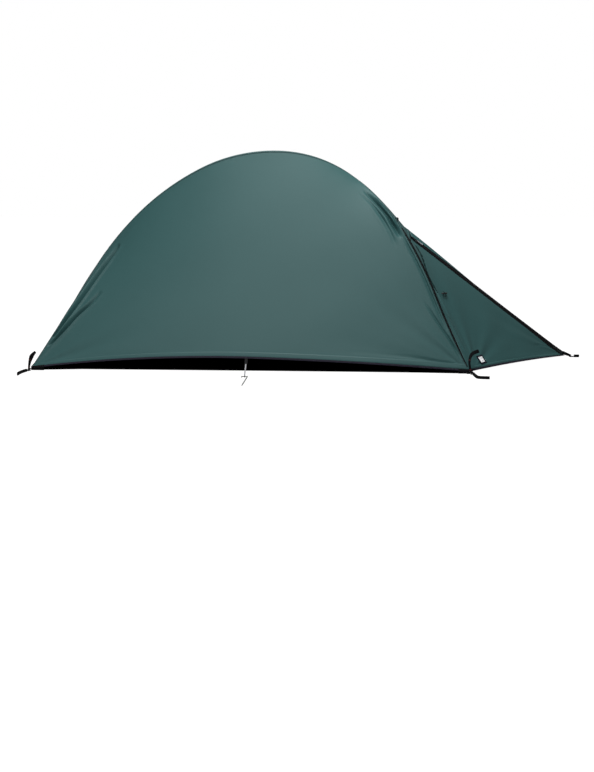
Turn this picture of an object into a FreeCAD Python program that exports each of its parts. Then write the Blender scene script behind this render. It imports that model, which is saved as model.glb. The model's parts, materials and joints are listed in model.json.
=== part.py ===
import FreeCAD
import Part
import math
import os

os.makedirs("parts", exist_ok=True)
V = FreeCAD.Vector
UP = V(0, 0, 1)

# Driving dimensions in millimetres and degrees.  The design frame has x = 0 at the foot
# hem, +X towards the vestibule, the door side on -Y and the ground at z = 0.
FLOOR_LEN = 2200.0
FOOT_WIDTH = 1000.0
HEAD_WIDTH = 1250.0
TIP_X = 2820.0
HEM_Z = 12.0
HEM_MID_X = 1095.0
HEM_MID_Z = 69.0
BINDING = 10.0
CLOTH = 1.6
BINDING_THICK = 2.4

HUB_X = 1650.0
HUB_Z = 944.4
SPINE_HEADING = 38.0
SPINE_TURNS = [35.7, 28.8, 18.2, 14.9, 21.1]
SPINE_SECTION = 428.2
LEG_HEADING = -23.9
LEG_TURNS = [22.9, 13.5, -6.0]
LEG_SECTION = 420.0
POLE_R = 4.25
POLE_BORE_R = 3.6
CORD_R = 1.2
INSERT_HALF = 28.0
SOCKET_START = 12.0
SOCKET_END = 42.0

SPINE_OFFSET = 16.0
LEG_OFFSET = 12.0
KICK_S = 1505.0
HOOD_LEG_T = 0.36
TIEBACK_T = 0.295
HOOD_KINK = V(1945, 0, 686)
HUB_TOP = V(1656, 0, 963)

ZIP_FOOT = V(2798, -18, 15)
ZIP_HEAD = V(1950, -45, 652)
ZIP_NORMAL = V(0.52, -0.52, 0.68)
TAPE_OUT = 12.0
CHAIN_OUT = 4.0
ZIP_GAP = 1.0
DOOR_CHAIN_LOW = 82.0
DOOR_CHAIN_HIGH = 62.0
SLIDER_LOW_S = 62.0
SLIDER_HIGH_S = 42.0
HINGE_T = 0.07
DOOR_HEM_END = 0.956
SEAM_HINGE = 0.80
SEAM_ZIP = 0.27
SEAM_STRIP = 0.13
HINGE_GAP = 0.8
PANEL_GAP = 0.8
DOOR_TOP_GAP = 5.0

WEB = 15.0
WEB_THICK = 1.4
BAR_R = 2.0
BAR_Z = 4.0
PEG_R = 3.0
PEG_LEN = 228.0
PEG_HEAD = V(1091, -790, 13)

FOOT_NEAR = V(0, -FOOT_WIDTH / 2, HEM_Z)
HEAD_NEAR = V(FLOOR_LEN, -HEAD_WIDTH / 2, HEM_Z)
TIP = V(TIP_X, 0, HEM_Z)


def unit(v):
    return v * (1.0 / v.Length)


def mirrored(v):
    return V(v.x, -v.y, v.z)


def lerp(a, b, t):
    return a * (1 - t) + b * t


def bezier(a, b, c, t):
    return a * ((1 - t) ** 2) + b * (2 * t * (1 - t)) + c * (t * t)


def flip(shape):
    return shape.mirror(V(0, 0, 0), V(0, 1, 0))


# Poles: chains of tangent circular arcs in vertical planes through the hub.

def chain(heading, turns, length):
    arcs = []
    u, w, a = 0.0, HUB_Z, math.radians(heading)
    for turn in turns:
        k = math.radians(turn) / length
        arcs.append((u, w, a, k, length))
        u, w, a = arc_at(arcs[-1], length)
    return arcs


def arc_at(arc, s):
    u, w, a, k, _ = arc
    b = a - k * s
    return u + (math.sin(a) - math.sin(b)) / k, w + (math.cos(b) - math.cos(a)) / k, b


def chain_at(arcs, s):
    for arc in arcs[:-1]:
        if s <= arc[4]:
            return arc_at(arc, s)
        s -= arc[4]
    return arc_at(arcs[-1], s)


def lift(way, u, w):
    return V(HUB_X, 0, 0) + way * u + UP * w


def bar(way, arc, s0, s1, r_out, r_in=0.0):
    """Round bar or tube bent along one arc between two distances."""
    u, w, a = arc_at(arc, s0)
    k = arc[3]
    start = lift(way, u, w)
    tangent = way * math.cos(a) + UP * math.sin(a)
    rings = [Part.Wire(Part.Circle(start, tangent, r_out).toShape())]
    if r_in:
        rings.append(Part.Wire(Part.Circle(start, tangent, r_in).toShape()))
    face = Part.Face(rings[0])
    if r_in:
        face = face.cut(Part.Face(rings[1])).Faces[0]
    centre = lift(way, u + math.sin(a) / k, w - math.cos(a) / k)
    axis = UP.cross(way) if k > 0 else way.cross(UP)
    return face.revolve(centre, axis, math.degrees((s1 - s0) * abs(k)))


def joined(solids):
    return solids[0].multiFuse(solids[1:]).removeSplitter()


SPINE_WAY = V(-1, 0, 0)
LEG_WAY = unit(V(FLOOR_LEN - HUB_X, -HEAD_WIDTH / 2, 0))
SPINE = chain(SPINE_HEADING, SPINE_TURNS, SPINE_SECTION)
LEG = chain(LEG_HEADING, LEG_TURNS, LEG_SECTION)
LEG_LEN = LEG_SECTION * len(LEG_TURNS)


def outside(way, arcs, s, offset):
    """Point on the cloth that lies over a pole."""
    u, w, a = chain_at(arcs, s)
    return lift(way, u - offset * math.sin(a), w + offset * math.cos(a))


# Edge lines of the fly, each as a function of a number from 0 to 1.

def ridge(t):
    p = outside(SPINE_WAY, SPINE, KICK_S * (1 - t), SPINE_OFFSET)
    return p + (HUB_TOP - outside(SPINE_WAY, SPINE, 0, SPINE_OFFSET)) * t ** 8


KICK = ridge(0)


def leg_edge(t):
    p = outside(LEG_WAY, LEG, LEG_LEN * t, LEG_OFFSET)
    top = HUB_TOP - outside(LEG_WAY, LEG, 0, LEG_OFFSET)
    low = HEAD_NEAR - outside(LEG_WAY, LEG, LEG_LEN, LEG_OFFSET)
    return p + top * (1 - t) ** 8 + low * t ** 8


def foot_ridge(t):
    """Middle of the foot panel: up from its binding, then over the spine pole."""
    return bezier(foot_line(0.5), V(82, 0, 250), KICK, t)


def hood_ridge(t):
    return bezier(HUB_TOP, V(1753, 0, 903), HOOD_KINK, t)


def vestibule_ridge(t):
    return lerp(HOOD_KINK, TIP, t) - UP * (20 * t * t * (1 - t) / 0.148)


SEAM_LEG = leg_edge(HOOD_LEG_T)


def seam(t):
    return bezier(HOOD_KINK, V(1965, -110, 580), SEAM_LEG, t)


def side_hem(t):
    mid = HEM_MID_X / FLOOR_LEN
    a = lerp(FOOT_NEAR, HEAD_NEAR, t)
    if t < mid:
        s = t / mid
        return V(a.x, a.y, HEM_Z + (HEM_MID_Z - HEM_Z) * s + 80 * s * (1 - s))
    s = (t - mid) / (1 - mid)
    return V(a.x, a.y, HEM_MID_Z - (HEM_MID_Z - HEM_Z) * s + 28 * s * (1 - s))


def foot_hem(t):
    return lerp(FOOT_NEAR, mirrored(FOOT_NEAR), t) + UP * (100 * t * (1 - t))


def front_hem(t):
    return lerp(HEAD_NEAR, TIP, t) + UP * (32 * t * (1 - t))


FOOT_UP = unit(KICK - FOOT_NEAR)
HEAD_UP = unit(leg_edge(0.9) - HEAD_NEAR)
TIP_UP = unit(HOOD_KINK - TIP)


def raised(hem, first, last):
    """The line where a panel meets its hem binding."""
    return lambda t: hem(t) + lerp(first, last, t) * BINDING


side_line = raised(side_hem, FOOT_UP, HEAD_UP)
foot_line = raised(foot_hem, FOOT_UP, mirrored(FOOT_UP))
front_line = raised(front_hem, HEAD_UP, TIP_UP)


# Cloth: a stretched membrane in a frame of four edges, given one cloth thickness.

def part_of(curve, t0, t1):
    return lambda t: curve(t0 + (t1 - t0) * t)


def pinned(curve, a, b):
    start, end = a - curve(0), b - curve(1)
    return lambda t: curve(t) + lerp(start, end, t)


def straight(a, b):
    return lambda t: lerp(a, b, t)


def membrane(bottom, top, left, right, nu=15, nv=9, middle=None):
    """Grid of points of a cloth pulled tight between four edges."""
    c00, c10, c01, c11 = left(0), right(0), left(1), right(1)
    bottom = pinned(bottom, c00, c10)
    top = pinned(top, c01, c11)
    grid = []
    for i in range(nu):
        s = i / (nu - 1.0)
        row = []
        for j in range(nv):
            t = j / (nv - 1.0)
            flat = lerp(lerp(c00, c10, s), lerp(c01, c11, s), t)
            row.append(lerp(bottom(s), top(s), t) + lerp(left(t), right(t), s) - flat)
        grid.append(row)
    if middle:
        grid[nu // 2] = [middle(j / (nv - 1.0)) for j in range(nv)]
    free = [i for i in range(1, nu - 1) if not (middle and i == nu // 2)]
    for _ in range(250):
        for i in free:
            for j in range(1, nv - 1):
                around = grid[i - 1][j] + grid[i + 1][j] + grid[i][j - 1] + grid[i][j + 1]
                grid[i][j] = around * 0.25
    return grid


def cloth(grid, thick=CLOTH):
    surface = Part.BSplineSurface()
    surface.interpolate(grid)
    return surface.toShape().extrude(UP * -thick)


def binding(hem, line, n=15):
    """Tape from a hem up to just below the panel that it edges."""
    ts = [i / (n - 1.0) for i in range(n)]
    rows = [[lerp(hem(t), line(t), 0.97 * k / 3.0) for k in range(4)] for t in ts]
    return cloth(rows, BINDING_THICK)


def ribbon(path, across, width, thick):
    """Band that follows a smooth path and is widened along one direction."""
    steps = len(path)
    upper, lower = [], []
    for i, p in enumerate(path):
        ahead = path[min(i + 1, steps - 1)] - path[max(i - 1, 0)]
        n = unit(ahead.cross(across)) * (thick / 2)
        upper.append(p + n)
        lower.append(p - n)
    edges = []
    for points in (upper, lower):
        curve = Part.BSplineCurve()
        curve.interpolate(points)
        edges.append(curve.toShape())
    ends = [Part.makeLine(upper[i], lower[i]) for i in (0, -1)]
    wire = Part.Wire(Part.__sortEdges__(edges + ends))
    face = Part.Face(wire)
    face.translate(across * (-width / 2))
    return face.extrude(across * width)


def framed(shape, origin, x_dir, y_dir, z_dir):
    rows = [(x_dir.x, y_dir.x, z_dir.x, origin.x),
            (x_dir.y, y_dir.y, z_dir.y, origin.y),
            (x_dir.z, y_dir.z, z_dir.z, origin.z)]
    flat = [n for row in rows for n in row] + [0, 0, 0, 1]
    shape.Placement = FreeCAD.Placement(FreeCAD.Matrix(*flat))
    return shape


def brick(x0, x1, y0, y1, z0, z1):
    return Part.makeBox(x1 - x0, y1 - y0, z1 - z0, V(x0, y0, z0))


nodes = {}

# Fly panels.
H = HINGE_T
hinge_foot = front_line(H)
hinge_head = seam(SEAM_HINGE)
axis_dir = unit(hinge_head - front_hem(H))
step = unit(front_line(0.5) - hinge_foot) * HINGE_GAP
ZX = unit(ZIP_HEAD - ZIP_FOOT)
ZN = unit(ZIP_NORMAL - ZX * ZIP_NORMAL.dot(ZX))
ZQ = ZN.cross(ZX)
zip_len = (ZIP_HEAD - ZIP_FOOT).Length
edge_out = TAPE_OUT + 0.3



def near_of_middle(grid):
    """The grid with its middle edge kept on the near side of the centre plane."""
    return [[V(p.x, p.y - PANEL_GAP, p.z) if p.y > -PANEL_GAP else p for p in row]
            for row in grid]


def under_seam(t0, t1, gap):
    """The hood seam moved down the vestibule by a gap."""
    down = unit(front_line(0.4) - seam(0.6)) * gap
    return lambda t: seam(t0 + (t1 - t0) * t) + down


near = membrane(side_line, ridge, straight(side_line(0), KICK - V(0, 1.5, 0)),
                lambda t: leg_edge(1 - t) if t > 0 else side_line(1), 19, 11)
side_near = cloth(near_of_middle(near))
nodes["fly_side_near"] = side_near
nodes["fly_side_far"] = flip(side_near)

kick_near = KICK - V(0, 1, 0)
foot_start = side_line(0) + V(-0.3, 0.4, 0)
foot = membrane(foot_line, straight(kick_near, mirrored(kick_near)),
                straight(foot_start, kick_near),
                straight(mirrored(foot_start), mirrored(kick_near)), 17, 11, foot_ridge)
nodes["fly_foot_panel"] = cloth(foot)

hood = membrane(part_of(leg_edge, 0.04, HOOD_LEG_T), part_of(hood_ridge, 0.10, 1),
                straight(leg_edge(0.04), hood_ridge(0.10)), lambda t: seam(1 - t), 9, 9)
hood_near = cloth(near_of_middle(hood))
nodes["fly_hood_near"] = hood_near
nodes["fly_hood_far"] = flip(hood_near)

patch = membrane(straight(leg_edge(0.04), hood_ridge(0.10)),
                 straight(HUB_TOP, mirrored(leg_edge(0.04))),
                 straight(leg_edge(0.04), HUB_TOP),
                 straight(hood_ridge(0.10), mirrored(leg_edge(0.04))), 5, 5)
nodes["hub_patch"] = cloth([[p + UP * 0.5 for p in row] for row in patch])

leg_side = pinned(part_of(leg_edge, 1 - 0.012, HOOD_LEG_T), leg_edge(1 - 0.012),
                  under_seam(1, 0, PANEL_GAP)(0))
strip = membrane(part_of(front_line, 0, H), under_seam(1, SEAM_HINGE, PANEL_GAP), leg_side,
                 straight(hinge_foot - step, hinge_head - step), 5, 13)
nodes["leg_strip_near"] = cloth(strip)

door_head = under_seam(SEAM_HINGE, SEAM_ZIP, DOOR_TOP_GAP)
door = membrane(part_of(front_line, H, DOOR_HEM_END), door_head,
                straight(hinge_foot + step, door_head(0) + step),
                straight(ZIP_FOOT + ZQ * edge_out + ZX * BINDING,
                         ZIP_HEAD + ZQ * edge_out - ZX * DOOR_TOP_GAP), 13, 13)
nodes["door_panel"] = cloth(door)

zip_side = straight(ZIP_FOOT - ZQ * edge_out + ZX * BINDING, ZIP_HEAD - ZQ * edge_out)
middle_side = pinned(part_of(vestibule_ridge, 1, 0), front_line(1),
                     under_seam(1, 0, PANEL_GAP)(1))
narrow = membrane(straight(zip_side(0), front_line(1)), under_seam(SEAM_STRIP, 0, PANEL_GAP),
                  zip_side, middle_side, 4, 13)
nodes["zip_strip"] = cloth(near_of_middle(narrow))

far = membrane(front_line, under_seam(1, 0, PANEL_GAP), leg_side, middle_side, 13, 13)
nodes["vestibule_panel_far"] = flip(cloth(near_of_middle(far)))

# Hem bindings.
hem = binding(part_of(side_hem, 0.004, 0.996), part_of(side_line, 0.004, 0.996), 25)
nodes["hem_binding_near"] = hem
nodes["hem_binding_far"] = flip(hem)
foot_low = pinned(foot_line, foot_start, mirrored(foot_start))
nodes["hem_binding_foot"] = binding(part_of(foot_hem, 0.004, 0.996),
                                    part_of(foot_low, 0.004, 0.996))
far_hem = flip(binding(part_of(front_hem, 0.004, 0.99), part_of(front_line, 0.004, 0.99)))
strip_hem = binding(part_of(front_hem, 0.004, H - 0.001), part_of(front_line, 0.004, H - 0.001), 5)
nodes["hem_binding_vestibule"] = Part.makeCompound([far_hem, strip_hem])
door_foot = pinned(part_of(front_line, H, DOOR_HEM_END), door[0][0], door[-1][0])
nodes["hem_binding_door"] = binding(part_of(front_hem, H + 0.001, DOOR_HEM_END), door_foot)

# Footprint sheet on the ground.
corners = [V(12, -488, 0), V(2190, -616, 0), V(2190, 616, 0), V(12, 488, 0)]
footprint = Part.Face(Part.makePolygon(corners + corners[:1])).extrude(UP * 1.2)
nodes["footprint"] = footprint


# Zip, built in its own frame: x up the zip, y towards the door, z out of the cloth.

def in_zip(shape, s):
    return framed(shape, ZIP_FOOT + ZX * s, ZX, ZQ, ZN)


def tape(s0, s1, side):
    web = sorted((side * ZIP_GAP, side * TAPE_OUT))
    coil = sorted((side * ZIP_GAP, side * CHAIN_OUT))
    flat = brick(s0, s1, web[0], web[1], -0.4, 0.4)
    return in_zip(flat.fuse(brick(s0, s1, coil[0], coil[1], -1.2, 1.2)).removeSplitter(), 0)


nodes["zipper_tape_fixed"] = tape(6, zip_len - 4, -1)
nodes["zipper_tape_door"] = tape(DOOR_CHAIN_LOW, zip_len - DOOR_CHAIN_HIGH, 1)

PULL_Z = 6.0
plates = brick(-12, 12, -5.5, 5.5, 1.7, 3.3).fuse(brick(-12, 12, -5.5, 5.5, -3.3, -1.7))
plates = plates.fuse(brick(6, 11, -0.6, 0.6, -1.8, 1.8))
for y0 in (-3.8, 2.6):
    plates = plates.fuse(brick(-2, 2, y0, y0 + 1.2, 3.2, 8))
pin = Part.makeCylinder(0.8, 7.4, V(0, -3.7, PULL_Z), V(0, 1, 0))
slider = plates.fuse(pin).removeSplitter()
eye = Part.makeCylinder(1.9, 4.4, V(0, -2.2, PULL_Z), V(0, 1, 0))
tab = brick(-14, -1, -2.2, 2.2, PULL_Z - 0.9, PULL_Z + 0.9)
grip = brick(-34, -13, -4, 4, PULL_Z - 1.4, PULL_Z + 1.4)
pull = eye.fuse(tab).fuse(grip)
pull = pull.cut(Part.makeCylinder(0.86, 6, V(0, -3, PULL_Z), V(0, 1, 0))).removeSplitter()
for name, s in (("lower", SLIDER_LOW_S), ("upper", zip_len - SLIDER_HIGH_S)):
    nodes["zipper_slider_" + name] = in_zip(slider.copy(), s)
    nodes["zipper_pull_" + name] = in_zip(pull.copy(), s)

# Pole set.
for i, arc in enumerate(SPINE):
    start = SOCKET_START if i == 0 else 0.0
    nodes["spine_section_%d" % (i + 1)] = bar(SPINE_WAY, arc, start, arc[4], POLE_R, POLE_BORE_R)
for i, arc in enumerate(LEG):
    start = SOCKET_START if i == 0 else 0.0
    section = bar(LEG_WAY, arc, start, arc[4], POLE_R, POLE_BORE_R)
    nodes["leg_near_section_%d" % (i + 1)] = section
    nodes["leg_far_section_%d" % (i + 1)] = flip(section)


def inserts(way, arcs):
    made = []
    for low, high in zip(arcs[:-1], arcs[1:]):
        ends = [bar(way, low, low[4] - INSERT_HALF, low[4], POLE_BORE_R - 0.05, 2.6),
                bar(way, high, 0, INSERT_HALF, POLE_BORE_R - 0.05, 2.6)]
        made.append(joined(ends))
    return made


def cord(way, arcs):
    return joined([bar(way, a, 14 if a is arcs[0] else 0, a[4], CORD_R) for a in arcs])


leg_inserts = inserts(LEG_WAY, LEG)
spine_inserts = inserts(SPINE_WAY, SPINE)
nodes["pole_inserts"] = Part.makeCompound(
    spine_inserts + leg_inserts + [flip(s) for s in leg_inserts])
leg_cord = cord(LEG_WAY, LEG)
nodes["shock_cords"] = Part.makeCompound([cord(SPINE_WAY, SPINE), leg_cord, flip(leg_cord)])

hub = Part.makeSphere(9.5, lift(V(1, 0, 0), 0, HUB_Z))
sockets = [bar(SPINE_WAY, SPINE[0], 0, SOCKET_END, 6.4), bar(LEG_WAY, LEG[0], 0, SOCKET_END, 6.4)]
bores = [bar(SPINE_WAY, SPINE[0], SOCKET_START, 60, POLE_R + 0.05),
         bar(LEG_WAY, LEG[0], SOCKET_START, 60, POLE_R + 0.05)]
hub = hub.multiFuse(sockets + [flip(sockets[1])])
for bore in bores + [flip(bores[1])]:
    hub = hub.cut(bore)
nodes["pole_hub"] = hub.removeSplitter()


def pole_tip(way, arcs):
    """Turned tip: a cone out of the tube, a groove and a rounded end."""
    u, w, a = arc_at(arcs[-1], arcs[-1][4])
    p = lift(way, u, w)
    d = way * math.cos(a) + UP * math.sin(a)
    plug = Part.makeCylinder(POLE_BORE_R - 0.05, 12, p - d * 12, d)
    plug = plug.cut(Part.makeCylinder(CORD_R + 0.1, 14, p - d * 13, d))
    cone = Part.makeCone(POLE_R, 2.6, 5, p, d)
    neck = Part.makeCylinder(2.2, 3.2, p + d * 4.9, d)
    ball = Part.makeCylinder(2.9, 3, p + d * 8, d)
    return joined([plug, cone, neck, ball]), p + d * 9


spine_tip, spine_seat = pole_tip(SPINE_WAY, SPINE)
leg_tip, leg_seat = pole_tip(LEG_WAY, LEG)
nodes["spine_tip"] = spine_tip
nodes["leg_tip_near"] = leg_tip
nodes["leg_tip_far"] = flip(leg_tip)

wraps = [bar(SPINE_WAY, SPINE[i], s, s + 25, 5.4, POLE_R + 0.05)
         for i, s in ((0, 300), (1, 240), (2, 240))]
leg_wraps = [bar(LEG_WAY, LEG[i], s, s + 25, 5.4, POLE_R + 0.05) for i, s in ((0, 250), (1, 200))]
nodes["pole_wraps"] = Part.makeCompound(wraps + leg_wraps + [flip(s) for s in leg_wraps])


# Corner hardware: grommet tab, ladder lock, strap tail and stake loop.

def arc_path(points, n=12):
    curve = Part.BSplineCurve()
    curve.interpolate(points)
    span = curve.LastParameter - curve.FirstParameter
    return [curve.value(curve.FirstParameter + span * i / (n - 1.0)) for i in range(n)]


def ladder_lock(origin, out):
    """Buckle frame with three bars; local x points away from the shelter."""
    body = brick(-12, 12, -11, -8.2, 2.2, 5.8)
    body = body.fuse(brick(-12, 12, 8.2, 11, 2.2, 5.8))
    body = body.fuse(brick(-12, -8.5, -9, 9, 2.2, 5.8)).fuse(brick(-2, 1.5, -9, 9, 2.2, 5.8))
    rod = Part.makeCylinder(BAR_R, 18, V(10, -9, BAR_Z), V(0, 1, 0))
    across = UP.cross(out)
    return framed(body.fuse(rod).removeSplitter(), V(origin.x, origin.y, 0), out, across, UP)


def corner_tab(start, origin, out):
    """Webbing from the hem corner down onto the inner bar of the ladder lock."""
    foot_point = V(origin.x, origin.y, 0)
    near_bar = foot_point - out * 10 + UP * 6.6
    top = foot_point - out * (foot_point - start).dot(out) + UP * start.z
    path = arc_path([top, lerp(top, near_bar, 0.5) + UP, near_bar])
    return ribbon(path, UP.cross(out), WEB, WEB_THICK)


def stake_loop(origin, path, gap):
    """Narrow webbing loop that stands on edge, with a sleeve round the outer bar."""
    out = unit(path[1] - path[0])
    middle = arc_path(path, 9)
    left, right = [], []
    for i, p in enumerate(middle):
        ahead = unit(middle[min(i + 1, 8)] - middle[max(i - 1, 0)])
        wide = UP.cross(ahead) * (gap / 2 * (0.7 if i in (0, 8) else 1.0))
        left.append(p + wide)
        right.append(p - wide)
    end = middle[-1] + unit(middle[-1] - middle[-2]) * (gap * 0.5)
    track = [p + UP * (WEB / 2) for p in left + [end] + right[::-1]]
    band = ribbon(track, UP, WEB - 0.6, WEB_THICK)
    bar_at = V(origin.x, origin.y, BAR_Z) + out * 10
    across = UP.cross(out)
    sleeve = Part.makeCylinder(3.6, 13, bar_at - across * 6.5, across)
    band = band.fuse(sleeve)
    return band.cut(Part.makeCylinder(BAR_R + 0.4, 40, bar_at - across * 20, across))


front_out = unit(V(0.04, -1, 0))
foot_out = unit(V(-0.24, -1, 0))
front_at = V(2212, -657, 0)
foot_at = V(-10, -532, 0)
tip_at = V(2837, 0, 0)
front_loop = stake_loop(front_at, [front_at + front_out * 13, V(2214, -740, 0),
                                   V(2222, -790, 0), V(2270, -806, 0)], 7.0)
foot_loop = stake_loop(foot_at, [foot_at + foot_out * 13, V(-26, -600, 0), V(-30, -640, 0),
                                 V(-30, -680, 0)], 7.0)
tip_loop = stake_loop(tip_at, [tip_at + V(13, 0, 0), V(2857, 0, 0), V(2866, 0, 0),
                               V(2875, 0, 0)], 7.0)
nodes["stake_loop_front_near"] = front_loop
nodes["stake_loop_front_far"] = flip(front_loop)
nodes["stake_loop_foot_near"] = foot_loop
nodes["stake_loop_foot_far"] = flip(foot_loop)
nodes["stake_loop_tip"] = tip_loop

locks = [ladder_lock(front_at, front_out), ladder_lock(foot_at, foot_out)]
nodes["ladder_locks"] = Part.makeCompound(
    locks + [flip(s) for s in locks] + [ladder_lock(tip_at, V(1, 0, 0))])
tabs = [corner_tab(HEAD_NEAR + V(0, 4, -2), front_at, front_out),
        corner_tab(FOOT_NEAR + V(0, 4, -2), foot_at, foot_out)]


def seat(point, far_end):
    """Flat webbing tab under a pole tip, with a clearance hole for its grommet."""
    out = unit(V(far_end.x - point.x, far_end.y - point.y, 0))
    length = V(far_end.x - point.x, far_end.y - point.y, 0).Length
    body = brick(-14, length, -WEB / 2 - 3, WEB / 2 + 3, 1.4, 2.6)
    body = body.cut(Part.makeCylinder(6.5, 5, V(0, 0, 0)))
    ring = Part.makeCylinder(9.5, 0.6, V(0, 0, 2.7)).fuse(Part.makeCylinder(6.4, 2.1, V(0, 0, 1.3)))
    ring = ring.cut(Part.makeCylinder(5.2, 5, V(0, 0, 0)))
    place = (V(point.x, point.y, 0), out, UP.cross(out), UP)
    return framed(body, *place), framed(ring.removeSplitter(), *place)


leg_place, leg_ring = seat(leg_seat, leg_seat + V(4, -22, 0))
spine_place, spine_ring = seat(spine_seat, spine_seat - V(75, 0, 0))
nodes["corner_tabs"] = Part.makeCompound(
    tabs + [flip(s) for s in tabs] + [corner_tab(TIP + V(-4, 0, -2), tip_at, V(1, 0, 0))])
nodes["pole_seats"] = Part.makeCompound([leg_place, flip(leg_place), spine_place])
nodes["pole_grommets"] = Part.makeCompound([leg_ring, flip(leg_ring), spine_ring])

front_tail = [V(2206, -655.5, 8.4), V(2196, -655.5, 45), V(2197, -655.5, 82),
              V(2211, -655.5, 106), V(2240, -655.5, 118)]
foot_tail = [V(-6, -529.5, 8.4), V(0, -529.5, 45), V(11, -529.5, 76), V(31, -529.5, 99)]
for name, points in (("front", front_tail), ("foot", foot_tail)):
    tail = ribbon(arc_path(points), V(0, 1, 0), WEB - 3, WEB_THICK)
    nodes["strap_tail_%s_near" % name] = tail
    nodes["strap_tail_%s_far" % name] = flip(tail)

# Middle of the long sides: pull-out strap with an end ring, and a hooked peg.
mid = side_hem(HEM_MID_X / FLOOR_LEN)
ring_r = PEG_R + 2.4
band = ribbon(arc_path([V(PEG_HEAD.x, mid.y - 3, mid.z + 1), V(PEG_HEAD.x, mid.y - 90, 46),
                        PEG_HEAD + V(0, 0.35 * ring_r, 0.94 * ring_r)]),
              V(1, 0, 0), WEB, WEB_THICK)
ring = Part.makeCylinder(ring_r + 0.7, WEB, PEG_HEAD - V(WEB / 2, 0, 0), V(1, 0, 0))
side_loop = ring.fuse(band)
side_loop = side_loop.cut(Part.makeCylinder(ring_r - 0.7, 40, PEG_HEAD - V(20, 0, 0), V(1, 0, 0)))
nodes["side_loop_near"] = side_loop
nodes["side_loop_far"] = flip(side_loop)

shaft_top = PEG_HEAD + V(13, -9, -1.5)
tip_z = 3.2
drop = shaft_top.z - tip_z
peg_tip = shaft_top + V(-18, -math.sqrt(PEG_LEN ** 2 - drop ** 2 - 18 ** 2), -drop)
shaft_dir = unit(peg_tip - shaft_top)
bar_x = Part.makeCylinder(PEG_R, 26, PEG_HEAD - V(13, 0, 0), V(1, 0, 0))
elbow = Part.makeSphere(PEG_R, PEG_HEAD + V(13, 0, 0))
top_dir = shaft_top - (PEG_HEAD + V(13, 0, 0))
neck = Part.makeCylinder(PEG_R, top_dir.Length, PEG_HEAD + V(13, 0, 0), top_dir)
joint_ball = Part.makeSphere(PEG_R, shaft_top)
shaft = Part.makeCylinder(PEG_R, PEG_LEN - 22, shaft_top, shaft_dir)
point = Part.makeCone(PEG_R, 0.8, 22, shaft_top + shaft_dir * (PEG_LEN - 22), shaft_dir)
end_ball = Part.makeSphere(PEG_R, PEG_HEAD - V(13, 0, 0))
hook = Part.makeCylinder(PEG_R, 20, PEG_HEAD - V(13, 0, 0), V(0, -1, -0.08))
peg = joined([bar_x, elbow, neck, joint_ball, shaft, point, end_ball, hook])
nodes["peg_near"] = peg
nodes["peg_far"] = flip(peg)


# Small parts on the cloth.

def on_cloth(grid, target):
    """Nearest surface point and outward normal."""
    surface = Part.BSplineSurface()
    surface.interpolate(grid)
    u, v = surface.parameter(target)
    n = surface.normal(u, v)
    return surface.value(u, v), n if n.z > 0 else n * -1


spot, n = on_cloth(door, V(2092, -330, 367))
along = V(1, 0.92, 0.16)
along = unit(along - n * along.dot(n))
across = n.cross(along)
toggle = Part.makeCylinder(4, 42, V(-21, 0, 8.5), V(1, 0, 0))
toggle = toggle.fuse(Part.makeSphere(4, V(-21, 0, 8.5))).fuse(Part.makeSphere(4, V(21, 0, 8.5)))
toggle = toggle.fuse(Part.makeCylinder(3, 6, V(0, 0, 0.5)))
nodes["door_toggle"] = framed(toggle.removeSplitter(), spot, along, across, n)
toggle_pos, toggle_axis = spot, n

spot, n = on_cloth(door, V(2270, -505, 52))
along = unit(V(0.70, 0.70, 0.12) - n * V(0.70, 0.70, 0.12).dot(n))
label = brick(-16, 16, -19, 19, 0.3, 1.3)
nodes["label_patch"] = framed(label, spot, along, n.cross(along), n)

top = leg_edge(TIEBACK_T)
way = unit(leg_edge(TIEBACK_T + 0.015) - leg_edge(TIEBACK_T - 0.015))
out = unit(V(0.25, -0.55, 0.80) - way * V(0.25, -0.55, 0.80).dot(way))
loop_turn = way.cross(out)
path = [top + way * (9 * math.cos(a)) + out * (3 + 13 * math.sin(a))
        for a in [math.pi * i / 8.0 for i in range(9)]]
nodes["tieback_loop"] = ribbon(path, loop_turn, 9.0, 1.6)

# Origin at the middle of the outline on the ground.
box = Part.makeCompound(list(nodes.values())).BoundBox
origin = V((box.XMin + box.XMax) / 2, (box.YMin + box.YMax) / 2, box.ZMin)
for name, shape in nodes.items():
    shape.translate(origin * -1)
    shape.exportStep("parts/%s.step" % name)


def told(label, point):
    p = (point - origin) * 0.001
    print("%s %.5f %.5f %.5f" % (label, p.x, p.y, p.z))


print("nodes", len(nodes), "origin", origin)
told("door hinge", front_hem(H))
print("door axis", axis_dir * -1)
told("zip foot", ZIP_FOOT)
print("zip dir", ZX, "zip across", ZQ, "zip normal", ZN, "length", zip_len)
told("toggle", toggle_pos)
print("toggle axis", toggle_axis)
for name, at, out in (("front", front_at, front_out), ("foot", foot_at, foot_out),
                      ("tip", tip_at, V(1, 0, 0))):
    told("loop " + name, V(at.x, at.y, BAR_Z) + out * 10)
    print("across", UP.cross(out))
told("peg", PEG_HEAD)
for name, s in (("lower", SLIDER_LOW_S), ("upper", zip_len - SLIDER_HIGH_S)):
    told("pull " + name, ZIP_FOOT + ZX * s + ZN * PULL_Z)
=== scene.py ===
import json
import math

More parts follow.
